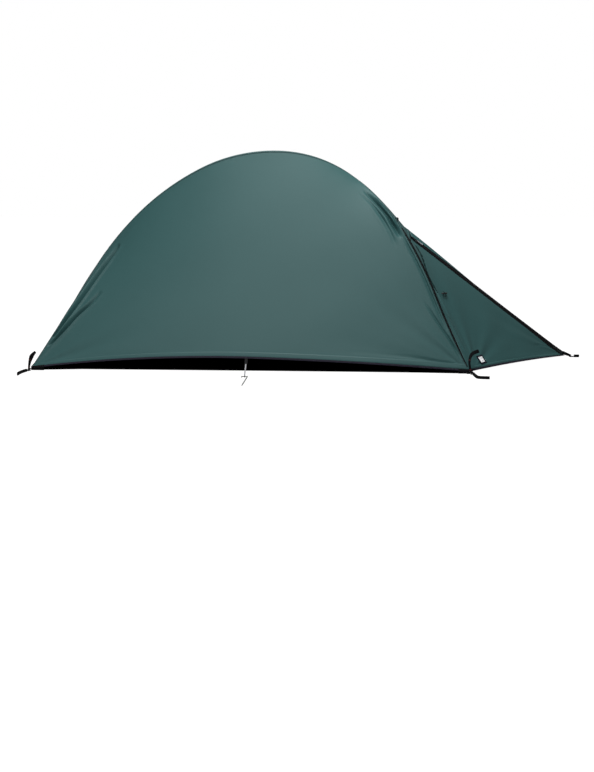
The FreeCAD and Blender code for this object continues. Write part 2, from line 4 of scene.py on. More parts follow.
import bpy
import numpy as np
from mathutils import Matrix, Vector


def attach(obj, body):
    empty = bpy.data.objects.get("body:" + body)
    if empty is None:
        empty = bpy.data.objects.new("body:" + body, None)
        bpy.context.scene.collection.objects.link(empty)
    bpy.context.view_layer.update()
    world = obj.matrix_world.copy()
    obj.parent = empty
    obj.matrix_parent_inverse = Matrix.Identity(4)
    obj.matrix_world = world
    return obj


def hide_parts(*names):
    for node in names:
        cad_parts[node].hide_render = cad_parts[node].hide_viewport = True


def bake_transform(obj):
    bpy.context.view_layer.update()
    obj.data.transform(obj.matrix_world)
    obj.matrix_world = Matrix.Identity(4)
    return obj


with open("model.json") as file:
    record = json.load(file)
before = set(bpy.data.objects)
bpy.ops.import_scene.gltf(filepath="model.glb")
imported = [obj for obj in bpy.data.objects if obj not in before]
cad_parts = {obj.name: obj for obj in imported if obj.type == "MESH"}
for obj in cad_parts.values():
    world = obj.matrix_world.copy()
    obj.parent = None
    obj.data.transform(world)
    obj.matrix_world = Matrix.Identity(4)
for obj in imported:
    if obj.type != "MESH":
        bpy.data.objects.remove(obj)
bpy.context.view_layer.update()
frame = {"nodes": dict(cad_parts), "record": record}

# Design frame in millimetres, as in the part: x = 0 at the foot hem, door on -Y, ground at z = 0.
ORIGIN = np.array([1421.92292, 0.0, 0.0])
FINE = 1

HUB_X, HUB_Z = 1650.0, 944.4
LEG_LEN, KICK_S, HOOD_LEG_T = 1260.0, 1505.0, 0.36
HEM_Z, HEM_MID = 12.0, 1095.0 / 2200.0
SEAM_HINGE, SEAM_ZIP, SEAM_STRIP = 0.80, 0.27, 0.13
HINGE_T, DOOR_END = 0.07, 0.956
SPINE_OFFSET, LEG_OFFSET = 16.0, 12.0     # cloth outside the pole axes
TAPE_EDGE, TAPE_START = 12.0, 10.0        # panel edge from the zip line; start of the zip
WEB_THICK, WEB_WIDE, LOOP_GAP, STITCH_PITCH = 1.4, 15.0, 7.0, 4.2
RIPSTOP_PITCH = 0.006


def V(*p):
    return np.array(p, float)


FOOT, HEAD, TIP = V(0, -500, HEM_Z), V(2200, -625, HEM_Z), V(2820, 0, HEM_Z)
KINK, HUB_TOP = V(1945, 0, 686), V(1656, 0, 963)
ZIP_FOOT, ZIP_HEAD = V(2798, -18, 15), V(1950, -45, 652)
TOGGLE_AT, LABEL_AT = V(2092, -330, 367), V(2270, -505, 52)
UP = V(0, 0, 1)
FLIP = V(1, -1, 1)


def unit(v):
    v = np.asarray(v, float)
    return v / np.maximum(np.linalg.norm(v, axis=-1, keepdims=True), 1e-9)


def col(t):
    return np.atleast_1d(np.asarray(t, float))[:, None]


def mix(a, b, t):
    return a * (1 - col(t)) + b * col(t)


def bezier(a, b, c, t):
    t = col(t)
    return a * (1 - t) ** 2 + b * 2 * t * (1 - t) + c * t * t


# Edge lines of the fly.

def pole(way, heading, turns, length, s, offset):
    """Points outside a chain of tangent arcs that starts at the hub."""
    s = np.atleast_1d(np.asarray(s, float))
    out = np.zeros((len(s), 3))
    u, w, a = 0.0, HUB_Z, math.radians(heading)
    for i, turn in enumerate(turns):
        k = math.radians(turn) / length
        lo, hi = i * length, (i + 1) * length
        last = i == len(turns) - 1
        pick = (s >= lo) & ((s < hi) | last)
        b = a - k * (s[pick] - lo)
        pu = u + (math.sin(a) - np.sin(b)) / k - offset * np.sin(b)
        pw = w + (np.cos(b) - math.cos(a)) / k + offset * np.cos(b)
        out[pick] = V(HUB_X, 0, 0) + pu[:, None] * way + pw[:, None] * UP
        end = a - k * length
        u, w, a = u + (math.sin(a) - math.sin(end)) / k, w + (math.cos(end) - math.cos(a)) / k, end
    return out


SPINE = (V(-1, 0, 0), 38.0, [35.7, 28.8, 18.2, 14.9, 21.1], 428.2)
LEG = (unit(V(550, -625, 0)), -23.9, [22.9, 13.5, -6.0], 420.0)


def ridge(t):
    t = np.atleast_1d(t)
    shift = HUB_TOP - pole(*SPINE, 0, SPINE_OFFSET)
    return pole(*SPINE, KICK_S * (1 - t), SPINE_OFFSET) + shift * col(t) ** 8


def leg_edge(t):
    t = np.atleast_1d(t)
    top = HUB_TOP - pole(*LEG, 0, LEG_OFFSET)
    low = HEAD - pole(*LEG, LEG_LEN, LEG_OFFSET)
    return (pole(*LEG, LEG_LEN * t, LEG_OFFSET) + top * (1 - col(t)) ** 8
            + low * col(t) ** 8)


KICK = ridge(0)[0]
SEAM_LEG = leg_edge(HOOD_LEG_T)[0]


def foot_ridge(t):
    return bezier(foot_line(0.5)[0], V(82, 0, 250), KICK, t)


def hood_ridge(t):
    # The last stretch already runs in line with the vestibule ridge.
    t = np.atleast_1d(np.asarray(t, float))
    bend = KINK + unit(KINK - TIP) * 36
    return np.where(col(t) < 0.88, bezier(HUB_TOP, V(1753, 0, 903), bend, t / 0.88),
                    mix(bend, KINK, (t - 0.88) / 0.12))


def vestibule_ridge(t):
    t = np.atleast_1d(t)
    return mix(KINK, TIP, t) - UP * (20 * col(t) ** 2 * (1 - col(t)) / 0.148)


def seam(t):
    return bezier(KINK, V(1965, -110, 580), SEAM_LEG, t)


def side_hem(t):
    t = np.atleast_1d(np.asarray(t, float))
    low = t < HEM_MID
    s = np.where(low, t / HEM_MID, (t - HEM_MID) / (1 - HEM_MID))
    rise = np.where(low, 57 * s + 80 * s * (1 - s), 57 * (1 - s) + 28 * s * (1 - s))
    return mix(FOOT, HEAD, t) + UP * rise[:, None]


def foot_hem(t):
    return mix(FOOT, FOOT * FLIP, t) + UP * (100 * col(t) * (1 - col(t)))


def front_hem(t):
    return mix(HEAD, TIP, t) + UP * (32 * col(t) * (1 - col(t)))


FOOT_UP = unit(KICK - FOOT)
HEAD_UP = unit(leg_edge(0.9)[0] - HEAD)
TIP_UP = unit(KINK - TIP)


def raised(hem, first, last):
    return lambda t: hem(t) + mix(first, last, t) * 10.0


side_line = raised(side_hem, FOOT_UP, HEAD_UP)
foot_line = raised(foot_hem, FOOT_UP, FOOT_UP * FLIP)
front_line = raised(front_hem, HEAD_UP, TIP_UP)


def part_of(curve, t0, t1):
    return lambda t: curve(t0 + (t1 - t0) * np.atleast_1d(t))


def straight(a, b):
    return lambda t: mix(a, b, t)


def joined_at(curve, start=None, end=None):
    """The curve, shifted so that it starts and ends at given points."""
    def moved(t):
        a = 0 if start is None else start - curve(0)[0]
        b = 0 if end is None else end - curve(1)[0]
        return curve(t) + a * (1 - col(t)) + b * col(t)
    return moved


# Cloth as a membrane pulled tight between four edges, solved coarse first, then refined.

def membrane(bottom, top, left, right, nu, nv, middle=None):
    c00, c10, c01, c11 = left(0)[0], right(0)[0], left(1)[0], right(1)[0]
    bottom, top = joined_at(bottom, c00, c10), joined_at(top, c01, c11)
    grid = None
    for step in (4, 2, 1):
        mu, mv = (nu - 1) // step + 1, (nv - 1) // step + 1
        s, t = np.linspace(0, 1, mu), np.linspace(0, 1, mv)
        if grid is None:
            b, u = bottom(s)[:, None], top(s)[:, None]
            l, r = left(t)[None], right(t)[None]
            S, T = s[:, None, None], t[None, :, None]
            flat = (c00 * (1 - S) + c10 * S) * (1 - T) + (c01 * (1 - S) + c11 * S) * T
            grid = b * (1 - T) + u * T + l * (1 - S) + r * S - flat
        else:
            for axis in (0, 1):
                size = (mu, mv)[axis]
                fine = np.zeros([size if k == axis else n for k, n in enumerate(grid.shape)])
                even = [slice(None)] * 3
                odd = [slice(None)] * 3
                even[axis], odd[axis] = slice(0, None, 2), slice(1, None, 2)
                fine[tuple(even)] = grid
                a, c = np.delete(grid, -1, axis), np.delete(grid, 0, axis)
                fine[tuple(odd)] = (a + c) / 2
                grid = fine
        grid[:, 0], grid[:, -1] = bottom(s), top(s)
        grid[0], grid[-1] = left(t), right(t)
        for _ in range(400 if step == 4 else 80):
            if middle:
                grid[mu // 2] = middle(t)
            grid[1:-1, 1:-1] = (grid[:-2, 1:-1] + grid[2:, 1:-1]
                                + grid[1:-1, :-2] + grid[1:-1, 2:]) / 4
        if middle:
            grid[mu // 2] = middle(t)
    return grid


def normals(grid):
    du = np.gradient(grid, axis=0)
    dv = np.gradient(grid, axis=1)
    n = unit(np.cross(du, dv))
    return n if n[..., 2].mean() > 0 else -n


def near_line(grid, points):
    """Distance to a line of points and how far along it, 0 to 1, for each grid point."""
    points = np.array(points, float)
    p = grid.reshape(-1, 3)
    lengths = np.linalg.norm(np.diff(points, axis=0), axis=1)
    total, run = lengths.sum(), 0.0
    best, along = np.full(len(p), 1e9), np.zeros(len(p))
    for a, b, length in zip(points[:-1], points[1:], lengths):
        t = np.clip(((p - a) @ (b - a)) / max(length, 1e-6) ** 2, 0, 1)
        d = np.linalg.norm(p - a - t[:, None] * (b - a), axis=1)
        closer = d < best
        best[closer] = d[closer]
        along[closer] = (run + t[closer] * length) / total
        run += length
    return best.reshape(grid.shape[:2]), along.reshape(grid.shape[:2])


def edge_fade(grid, margin, edges=(0, 1, 2, 3)):
    """1 inside a panel and 0 on its edges, so that seams stay where they are."""
    d = np.full(grid.shape[:2], 1e9)
    sides = (grid[0], grid[-1], grid[:, 0], grid[:, -1])
    for edge in (sides[k] for k in edges):
        step = max(1, len(edge) // 24)
        d = np.minimum(d, near_line(grid, edge[::step].tolist() + [edge[-1]])[0])
    return 1 - np.exp(-(d / margin) ** 2)


def cubic(grid, at, axis):
    """Smooth values of a grid at fractions 0 to 1 along one axis."""
    g = np.moveaxis(grid, axis, 0)
    last = len(g) - 1
    x = np.clip(np.asarray(at, float) * last, 0, last)
    i = np.minimum(x.astype(int), last - 1)
    f = (x - i).reshape((-1,) + (1,) * (g.ndim - 1))
    g = np.concatenate([[2 * g[0] - g[1]], g, [2 * g[-1] - g[-2]]])
    a, b, c, d = (g[i + k] for k in range(4))
    out = b + 0.5 * f * (c - a + f * (2 * a - 5 * b + 4 * c - d + f * (3 * (b - c) + d - a)))
    return np.moveaxis(out, 0, axis)


def spread(*spans):
    """Fractions 0 to 1 with a chosen number of steps in each span of (end, steps)."""
    out, start = [np.zeros(1)], 0.0
    for end, steps in spans:
        steps = max(2, steps if FINE else steps // 3)
        out.append(np.linspace(start, end, steps + 1)[1:])
        start = end
    return np.concatenate(out)


def refined(grid, s, t):
    return cubic(cubic(grid, s, 0), t, 1)


def fold(grid, n, base, way, width, depth, head=0.25, tail=0.25, lip=0.18):
    """A fold pressed into the cloth along a way given in panel fractions.

    Width and depth are (first, last) values; head and tail are the shares of the length over
    which the fold dies out at each end."""
    way = smooth_path([(a, b, 0) for a, b in way], 40)
    line = np.array([refined(base, [a], [b])[0, 0] for a, b, _ in way])
    d, along = near_line(grid, line)
    w = width[0] + (width[1] - width[0]) * along
    deep = depth[0] + (depth[1] - depth[0]) * along
    ends = np.ones_like(along)
    if head:
        ends *= np.clip(along / head, 0, 1) ** 0.7
    if tail:
        ends *= np.clip((1 - along) / tail, 0, 1) ** 0.7
    shape = np.exp(-(d / w) ** 1.6) - lip * np.exp(-((d - 2.4 * w) / w) ** 2)
    return -n * (deep * ends * shape)[..., None]


def folds(grid, n, base, *specs):
    return sum(fold(grid, n, base, *spec) for spec in specs)


def fan(grid, n, corner, aim, count, reach, depth, phase=0.0):
    """Shallow pull folds that radiate from a tensioned corner."""
    v = grid - corner
    r = np.linalg.norm(v, axis=2)
    nn = unit(n.mean(axis=(0, 1)))
    aim = unit(aim - nn * np.dot(aim, nn))
    side = np.cross(nn, aim)
    angle = np.arctan2(v @ side, v @ aim)
    wave = np.cos(count * angle + phase) + 0.5 * np.cos(count * 1.7 * angle + 2.1 * phase + 1)
    size = depth * (r / reach) * np.exp(1 - r / reach)
    return n * (wave * size)[..., None]


def ripples(grid, n, seed, length, depth):
    """Slow unevenness of tensioned cloth, as a few random sine waves."""
    rng = np.random.default_rng(seed)
    total = np.zeros(grid.shape[:2])
    for _ in range(9):
        k = unit(rng.normal(size=3)) * rng.uniform(0.6, 1.7) * 2 * np.pi / length
        total += np.sin(grid @ k + rng.uniform(0, 6.28))
    return n * (total * depth / 3)[..., None]


def smooth_path(points, n):
    """Catmull-Rom through the points, evenly sampled."""
    p = np.array(points, float)
    q = np.vstack([2 * p[0] - p[1], p, 2 * p[-1] - p[-2]])
    out = []
    for i in range(1, len(q) - 2):
        for t in np.linspace(0, 1, 24, endpoint=False):
            a, b, c, d = q[i - 1:i + 3]
            out.append(0.5 * (2 * b + (c - a) * t + (2 * a - 5 * b + 4 * c - d) * t * t
                              + (3 * b - a - 3 * c + d) * t ** 3))
    out = np.array(out + [p[-1]])
    run = np.concatenate([[0], np.cumsum(np.linalg.norm(np.diff(out, axis=0), axis=1))])
    at = np.linspace(0, run[-1], n)
    return np.stack([np.interp(at, run, out[:, k]) for k in range(3)], 1)


# Meshes.

def new_mesh(name, verts, faces, material, smooth=True, uvs=None):
    mesh = bpy.data.meshes.new(name)
    points = (np.asarray(verts, float) - ORIGIN) * 0.001
    mesh.from_pydata(points.tolist(), [], [list(f) for f in faces])
    mesh.update()
    if uvs is not None:
        layer = mesh.uv_layers.new(name="UVMap")
        loops = np.zeros(len(mesh.loops), dtype=np.int32)
        mesh.loops.foreach_get("vertex_index", loops)
        layer.data.foreach_set("uv", np.asarray(uvs, np.float32)[loops].ravel())
    mesh.polygons.foreach_set("use_smooth", [smooth] * len(mesh.polygons))
    obj = bpy.data.objects.new(name, mesh)
    bpy.context.scene.collection.objects.link(obj)
    mesh.materials.append(material)
    return obj


def grid_faces(nu, nv, close=False):
    i, j = np.meshgrid(np.arange(nu - 1), np.arange(nv - (0 if close else 1)), indexing="ij")
    k = (j + 1) % nv
    quads = np.stack([i * nv + j, (i + 1) * nv + j, (i + 1) * nv + k, i * nv + k], -1)
    return quads.reshape(-1, 4)


def grid_uvs(grid):
    """Lengths in metres along both directions, so that a weave keeps its size."""
    u = np.linalg.norm(np.diff(grid, axis=0), axis=2).mean(axis=1)
    v = np.linalg.norm(np.diff(grid, axis=1), axis=2).mean(axis=0)
    u, v = np.concatenate([[0], np.cumsum(u)]), np.concatenate([[0], np.cumsum(v)])
    return np.stack(np.meshgrid(u, v, indexing="ij"), -1).reshape(-1, 2) * 0.001


def cloth(name, grid, node, body="shelter", material=None,
          thick=0.0004):
    """A cloth panel: fine mesh and a little thickness."""
    nu, nv = grid.shape[:2]
    faces = grid_faces(nu, nv)
    du, dv = grid[1, 0] - grid[0, 0], grid[0, 1] - grid[0, 0]
    if np.cross(du, dv)[2] < 0:
        faces = faces[:, ::-1]
    uv = grid_uvs(grid)
    obj = new_mesh(name, grid.reshape(-1, 3), faces, material or CLOTH, uvs=uv)
    solid = obj.modifiers.new("thickness", "SOLIDIFY")
    solid.thickness, solid.offset = thick, -1
    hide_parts(node)
    if body:
        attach(obj, body)
    return obj


def cloth_pair(name, grid, node):
    """A panel of the near side and its mirror image on the far side."""
    cloth(name + "_near", grid, node + "_near")
    cloth(name + "_far", (grid * FLIP)[::-1], node + "_far")


def sweep(name, rings, material, body, nodes=(), caps=True):
    """A band from a list of closed rings of points."""
    rings = np.array(rings)
    n, m = rings.shape[:2]
    faces = grid_faces(n, m, True).tolist()
    if caps:
        faces += [list(range(m)), list(range((n - 1) * m, n * m))[::-1]]
    run = np.linalg.norm(np.diff(rings.mean(axis=1), axis=0), axis=1)
    run = np.concatenate([[0], np.cumsum(run)])
    around = np.linalg.norm(np.diff(rings[0], axis=0), axis=1)
    around = np.concatenate([[0], np.cumsum(around)])
    uv = np.stack(np.meshgrid(run, around, indexing="ij"), -1).reshape(-1, 2) * 0.001
    obj = new_mesh(name, rings.reshape(-1, 3), faces, material, uvs=uv)
    if nodes:
        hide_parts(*nodes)
    if body:
        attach(obj, body)
    return obj


def webbing(name, path, across, width, thick, body, nodes=(), material=None):
    """Woven band with rounded selvedges along a path, widened along one direction."""
    ahead = unit(np.gradient(path, axis=0))
    n = unit(np.cross(ahead, across))
    w, h = width / 2, thick / 2
    shape = [(-w, 0), (-w + 0.35, h * 0.8), (-w + 1.0, h), (-w * 0.4, h * 0.94), (w * 0.4, h * 0.94),
             (w - 1.0, h), (w - 0.35, h * 0.8), (w, 0), (w - 0.35, -h * 0.8), (w - 1.0, -h),
             (w * 0.4, -h * 0.94), (-w * 0.4, -h * 0.94), (-w + 1.0, -h), (-w + 0.35, -h * 0.8)]
    rings = [[p + across * a + m * b for a, b in shape] for p, m in zip(path, n)]
    return sweep(name, rings, material or WEBBING, body, nodes)


def threads(name, points, aheads, ups, length, thick, material, body):
    """Many short stitches as one mesh, each a small raised bar."""
    verts, faces = [], []
    for p, a, u in zip(points, aheads, ups):
        side = np.cross(u, a)
        base = len(verts)
        for x in (-1, 0, 1):
            lift = thick * (1.0 if x == 0 else 0.1)
            for y in (-1, 0, 1):
                top = lift * (1.0 if y == 0 else 0.35)
                verts.append(p + a * x * length / 2 + side * y * thick * 0.6 + u * top)
        for i in range(2):
            for j in range(2):
                k = base + i * 3 + j
                faces.append([k, k + 3, k + 4, k + 1])
    obj = new_mesh(name, verts, faces, material, uvs=np.zeros((len(verts), 2)))
    if body:
        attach(obj, body)
    return obj


def stitch_line(name, path, up, body):
    run = np.concatenate([[0], np.cumsum(np.linalg.norm(np.diff(path, axis=0), axis=1))])
    at = np.arange(STITCH_PITCH, run[-1] - STITCH_PITCH, STITCH_PITCH)
    pts = np.stack([np.interp(at, run, path[:, k]) for k in range(3)], 1)
    ups = unit(np.stack([np.interp(at, run, up[:, k]) for k in range(3)], 1))
    ahead = unit(np.stack([np.interp(at, run, unit(np.gradient(path, axis=0))[:, k])
                           for k in range(3)], 1))
    return threads(name, pts, ahead, ups, 2.6, 0.45, THREAD, body)


def sewn_band(name, rings, path, up, material, body, mirror=False, nodes=()):
    """A band with its row of stitches, or the mirror image of both."""
    if mirror:
        rings, path, up = (rings * FLIP)[:, ::-1], path * FLIP, up * FLIP
    return (sweep(name, rings, material, body, nodes),
            stitch_line(name + "_stitches", path, up, body))


# Materials.

def shader(name, colour, roughness, **values):
    mat = bpy.data.materials.new(name)
    mat.use_nodes = True
    tree = mat.node_tree
    bsdf = tree.nodes["Principled BSDF"]
    bsdf.inputs["Base Color"].default_value = (*colour, 1)
    bsdf.inputs["Roughness"].default_value = roughness
    for key, value in values.items():
        bsdf.inputs[key.replace("_", " ")].default_value = value
    return mat, tree, bsdf


def add(tree, kind, **settings):
    """A node with its values set, and its inputs linked where a socket is given."""
    node = tree.nodes.new(kind)
    for key, value in settings.items():
        if isinstance(value, bpy.types.NodeSocket):
            link(tree, value, node.inputs[key])
        elif key in node.inputs:
            node.inputs[key].default_value = value
        else:
            setattr(node, key, value)
    return node


def link(tree, a, b):
    tree.links.new(a, b)


def bump(tree, bsdf, heights, distance):
    """Chains one Bump node per height source."""
    last = None
    for height, d in zip(heights, distance):
        node = add(tree, "ShaderNodeBump", Strength=1.0, Distance=d, Height=height)
        if last:
            link(tree, last.outputs["Normal"], node.inputs["Normal"])
        last = node
    link(tree, last.outputs["Normal"], bsdf.inputs["Normal"])


def tinted(tree, bsdf, factor, dark, light):
    ramp = add(tree, "ShaderNodeMix", data_type="RGBA")
    ramp.inputs["A"].default_value = (*dark, 1)
    ramp.inputs["B"].default_value = (*light, 1)
    link(tree, factor, ramp.inputs["Factor"])
    link(tree, ramp.outputs["Result"], bsdf.inputs["Base Color"])


def scaled(colour, k):
    return tuple(c * k for c in colour)


def ripstop(name, colour, roughness, wrinkle=0.0006, specular=0.16):
    """Coated ripstop: a fine square grid of thicker threads over a plain weave."""
    mat, tree, bsdf = shader(name, colour, roughness, Specular_IOR_Level=specular)
    uv = add(tree, "ShaderNodeUVMap", uv_map="UVMap").outputs["UV"]
    place = add(tree, "ShaderNodeTexCoord").outputs["Object"]
    grid = add(tree, "ShaderNodeTexBrick", offset=0.0, squash=1.0, Scale=1.0 / RIPSTOP_PITCH,
               Vector=uv, **{"Mortar Size": 0.05, "Mortar Smooth": 0.6, "Brick Width": 1.0,
                             "Row Height": 1.0})
    cloud = add(tree, "ShaderNodeTexNoise", Scale=2.2, Detail=3.0, Vector=place)
    blend = add(tree, "ShaderNodeMath", operation="MULTIPLY_ADD")
    link(tree, cloud.outputs["Fac"], blend.inputs[0])
    blend.inputs[1].default_value = 0.5
    lines = add(tree, "ShaderNodeMath", operation="MULTIPLY")
    link(tree, grid.outputs["Fac"], lines.inputs[0])
    lines.inputs[1].default_value = 0.15
    link(tree, lines.outputs[0], blend.inputs[2])
    tinted(tree, bsdf, blend.outputs[0], scaled(colour, 0.94), scaled(colour, 1.08))
    weave = add(tree, "ShaderNodeTexNoise", Scale=900.0, Detail=1.0, Vector=uv)
    crumple = add(tree, "ShaderNodeTexNoise", Scale=16.0, Detail=4.0, Roughness=0.5,
                  Vector=place)
    bump(tree, bsdf, [node.outputs["Fac"] for node in (crumple, grid, weave)],
         [wrinkle, 0.00006, 0.00003])
    return mat


def woven(name, colour, roughness, rib=0.0016):
    """Webbing or tape: diagonal twill ribs along its length."""
    mat, tree, bsdf = shader(name, colour, roughness, Specular_IOR_Level=0.04)
    uv = add(tree, "ShaderNodeUVMap", uv_map="UVMap").outputs["UV"]
    turn = add(tree, "ShaderNodeMapping", Rotation=(0, 0, 0.6), Vector=uv)
    wave = add(tree, "ShaderNodeTexWave", bands_direction="X", Scale=0.3 / rib, Distortion=0.6,
               Vector=turn.outputs["Vector"])
    tinted(tree, bsdf, wave.outputs["Fac"], scaled(colour, 0.6), scaled(colour, 1.35))
    bump(tree, bsdf, [wave.outputs["Fac"]], [0.0003])
    return mat


def moulded(name, colour, roughness, **values):
    """Moulded or lacquered surface with a fine grain and slight colour changes."""
    mat, tree, bsdf = shader(name, colour, roughness, **values)
    place = add(tree, "ShaderNodeTexCoord").outputs["Object"]
    noise = add(tree, "ShaderNodeTexNoise", Scale=420.0, Detail=3.0, Vector=place)
    tinted(tree, bsdf, noise.outputs["Fac"], scaled(colour, 0.85), scaled(colour, 1.15))
    bump(tree, bsdf, [noise.outputs["Fac"]], [0.00008])
    return mat


FLY = (0.018, 0.056, 0.056)
CLOTH = ripstop("fly ripstop", FLY, 0.55)
SEAM = ripstop("fly seam", scaled(FLY, 0.78), 0.55, wrinkle=0.0003)
# Painted shade: the fly colour darkened to 0.3, for the strip that stands in for the shadow in the
# door's fold.
FOLD_SHADE_PAINT = ripstop("painted fold shade", scaled(FLY, 0.3), 0.8, wrinkle=0.0003, specular=0.02)
GROUND = ripstop("footprint cloth", (0.004, 0.004, 0.0045), 0.9, wrinkle=0.001, specular=0.0)
HEM = woven("hem tape", (0.013, 0.012, 0.019), 0.7, 0.0012)
THREAD = moulded("thread", (0.016, 0.03, 0.032), 0.7)
WEBBING = woven("webbing", (0.0045, 0.0045, 0.005), 0.7)
STRAP = woven("grey tape", (0.20, 0.20, 0.21), 0.7, 0.0008)
TACK = moulded("bar tack thread", (0.16, 0.012, 0.010), 0.6)
# Near-black tape for the zip tapes; the same colour paints shade in the leg binding and the zip
# facings.
DARK_TAPE_AND_SHADE = woven("zip tape and painted shade", (0.004, 0.004, 0.0045), 0.8, 0.0008)
COIL = moulded("zip coil", (0.005, 0.005, 0.006), 0.4)
METAL = moulded("slider lacquer", (0.02, 0.02, 0.022), 0.35, Metallic=0.3)
PULL = moulded("pull rubber", (0.16, 0.17, 0.18), 0.6)
DARK_PULL = moulded("dark pull rubber", (0.008, 0.008, 0.009), 0.55)
ALLOY = moulded("pole alloy", (0.42, 0.43, 0.45), 0.32, Metallic=1.0)
BRIGHT = moulded("bright alloy", (0.26, 0.26, 0.25), 0.4, Metallic=0.6)
PLASTIC = moulded("hub plastic", (0.010, 0.010, 0.011), 0.45)
BUCKLE = moulded("buckle plastic", (0.03, 0.03, 0.032), 0.4)
ELASTIC = woven("shock cord", (0.22, 0.23, 0.22), 0.8, 0.001)
LABEL = woven("label weave", (0.78, 0.79, 0.80), 0.75, 0.0006)
BORDER = woven("label border", (0.008, 0.009, 0.016), 0.75, 0.0006)

FINISH = {"pole_alloy": ALLOY, "bare_alloy": BRIGHT, "hub_plastic": PLASTIC,
          "buckle_plastic": BUCKLE, "cord_elastic": ELASTIC, "webbing": WEBBING,
          "zip_metal": METAL, "toggle_plastic": PLASTIC, "peg_alloy": BRIGHT,
          "fly_cloth": CLOTH, "hem_tape": HEM, "zip_coil": DARK_TAPE_AND_SHADE, "label_cloth": LABEL,
          "footprint_cloth": GROUND}
for part in frame["record"]["subparts"]:
    node = frame["nodes"][part["node"]]
    for place in node.material_slots:
        place.material = FINISH[part["material_slot"]]
frame["nodes"]["zipper_pull_lower"].material_slots[0].material = DARK_PULL
frame["nodes"]["zipper_pull_upper"].material_slots[0].material = PULL


# Fly panels.

# Shared edges, with the corner points that the panels have in common.
left_edge = straight(side_line(0)[0], KICK)
leg_down = joined_at(lambda t: leg_edge(1 - np.atleast_1d(t)), side_line(1)[0])
leg_side = part_of(leg_down, 0.0, 1 - HOOD_LEG_T)
middle_side = joined_at(part_of(vestibule_ridge, 1, 0), front_line(1)[0])

LEG_AXIS = pole(*LEG, np.linspace(0, LEG_LEN, 60), 0.0)


def clear_of(grid, move, axis, gap):
    """The displacement, cut back wherever it would press the cloth onto a pole."""
    for _ in range(14):
        close = near_line(grid + move, axis)[0] < gap
        move = move * np.where(close, 0.82, 1.0)[..., None]
    return move


base = membrane(side_line, ridge, left_edge, leg_down, 161, 81)
side_s = spread((0.10, 96), (0.20, 22), (0.90, 84), (0.955, 20), (1.0, 48))
side_t = spread((0.04, 8), (1.0, 120))
near = refined(base, side_s, side_t)
n = normals(near)
move = folds(
    near, n, base,
    ([(0.088, 0.88), (0.062, 0.80), (0.035, 0.67), (0.016, 0.43), (0.006, 0.22)], (10, 6),
     (40, 42), 0.25, 0.2),
    ([(0.088, 0.53), (0.068, 0.456), (0.043, 0.382), (0.026, 0.265), (0.008, 0.155)], (8, 5),
     (20, 30), 0.4, 0.2),
    ([(0.970, 0.88), (0.980, 0.816), (0.984, 0.765), (0.986, 0.721), (0.984, 0.690),
      (0.983, 0.650), (0.982, 0.61)], (8, 10), (16, 34), 0.3, 0.25),
    ([(0.950, 0.86), (0.963, 0.80), (0.965, 0.735), (0.965, 0.647), (0.958, 0.56)], (7, 9),
     (9, 10), 0.3, 0.5),
    ([(0.990, 0.62), (0.990, 0.45), (0.990, 0.30), (0.991, 0.16)], (9, 7), (9, 7), 0.15, 0.3, 0),
    ([(0.966, 0.30), (0.980, 0.191), (0.988, 0.132), (0.995, 0.05)], (5, 4), (6, 9), 0.3, 0.2),
    ([(0.72, 0.050), (0.86, 0.040), (0.985, 0.020)], (5, 4), (1.0, 4), 0.5, 0.1))
move = clear_of(near, move * edge_fade(near, 5)[..., None], LEG_AXIS, 8.5)
loose = ripples(near, n, 3, 420, 1.4)
loose += fan(near, n, HEAD, V(-1, 0.05, 0.05), 16, 170, 1.6, 0.4)
loose += fan(near, n, FOOT, V(0.8, 0.2, 0.6), 14, 170, 1.4, 1.2)
near = near + move + loose * edge_fade(near, 25)[..., None]
near_n = normals(near)
cloth_pair("side", near, "fly_side")

base = membrane(foot_line, straight(KICK, KICK), left_edge,
                straight(side_line(0)[0] * FLIP, KICK), 81, 81, foot_ridge)
foot = refined(base, spread((0.25, 34), (0.75, 40), (1.0, 34)), spread((0.04, 8), (1.0, 90)))
n = normals(foot)
ways = (([(0.10, 0.86), (0.10, 0.5), (0.07, 0.12)], (10, 6), (9, 12)),
        ([(0.24, 0.55), (0.20, 0.3), (0.13, 0.1)], (10, 6), (5, 7)))
move = folds(foot, n, base, *ways,
             *(([(1 - a, b) for a, b in way], w, d) for way, w, d in ways))
foot = foot + (move + ripples(foot, n, 5, 300, 1.5)) * edge_fade(foot, 14)[..., None]
foot_n = normals(foot)
cloth("foot_panel", foot, "fly_foot_panel")

cap_leg, cap_ridge = leg_edge(0.04)[0], hood_ridge(0.10)[0]
base = membrane(part_of(leg_edge, 0.04, HOOD_LEG_T), part_of(hood_ridge, 0.10, 1),
                straight(cap_leg, cap_ridge), part_of(seam, 1, 0), 81, 41)
hood = refined(base, spread((1.0, 60)), spread((1.0, 44)))
n = normals(hood)
move = folds(hood, n, base, ([(0.25, 0.30), (0.6, 0.22), (0.95, 0.12)], (8, 6), (8, 12)),
             ([(0.4, 0.62), (0.7, 0.55), (0.97, 0.42)], (7, 6), (3, 6)))
hood = hood + (move + ripples(hood, n, 6, 200, 1.2)) * edge_fade(hood, 9)[..., None]
hood_n = normals(hood)
cloth_pair("hood", hood, "fly_hood")
patch = membrane(straight(cap_leg, cap_ridge), straight(HUB_TOP, cap_leg * FLIP),
                 straight(cap_leg, HUB_TOP), straight(cap_ridge, cap_leg * FLIP), 13, 13)
cloth("hub_cap", patch + UP * 0.6, "hub_patch", material=SEAM)

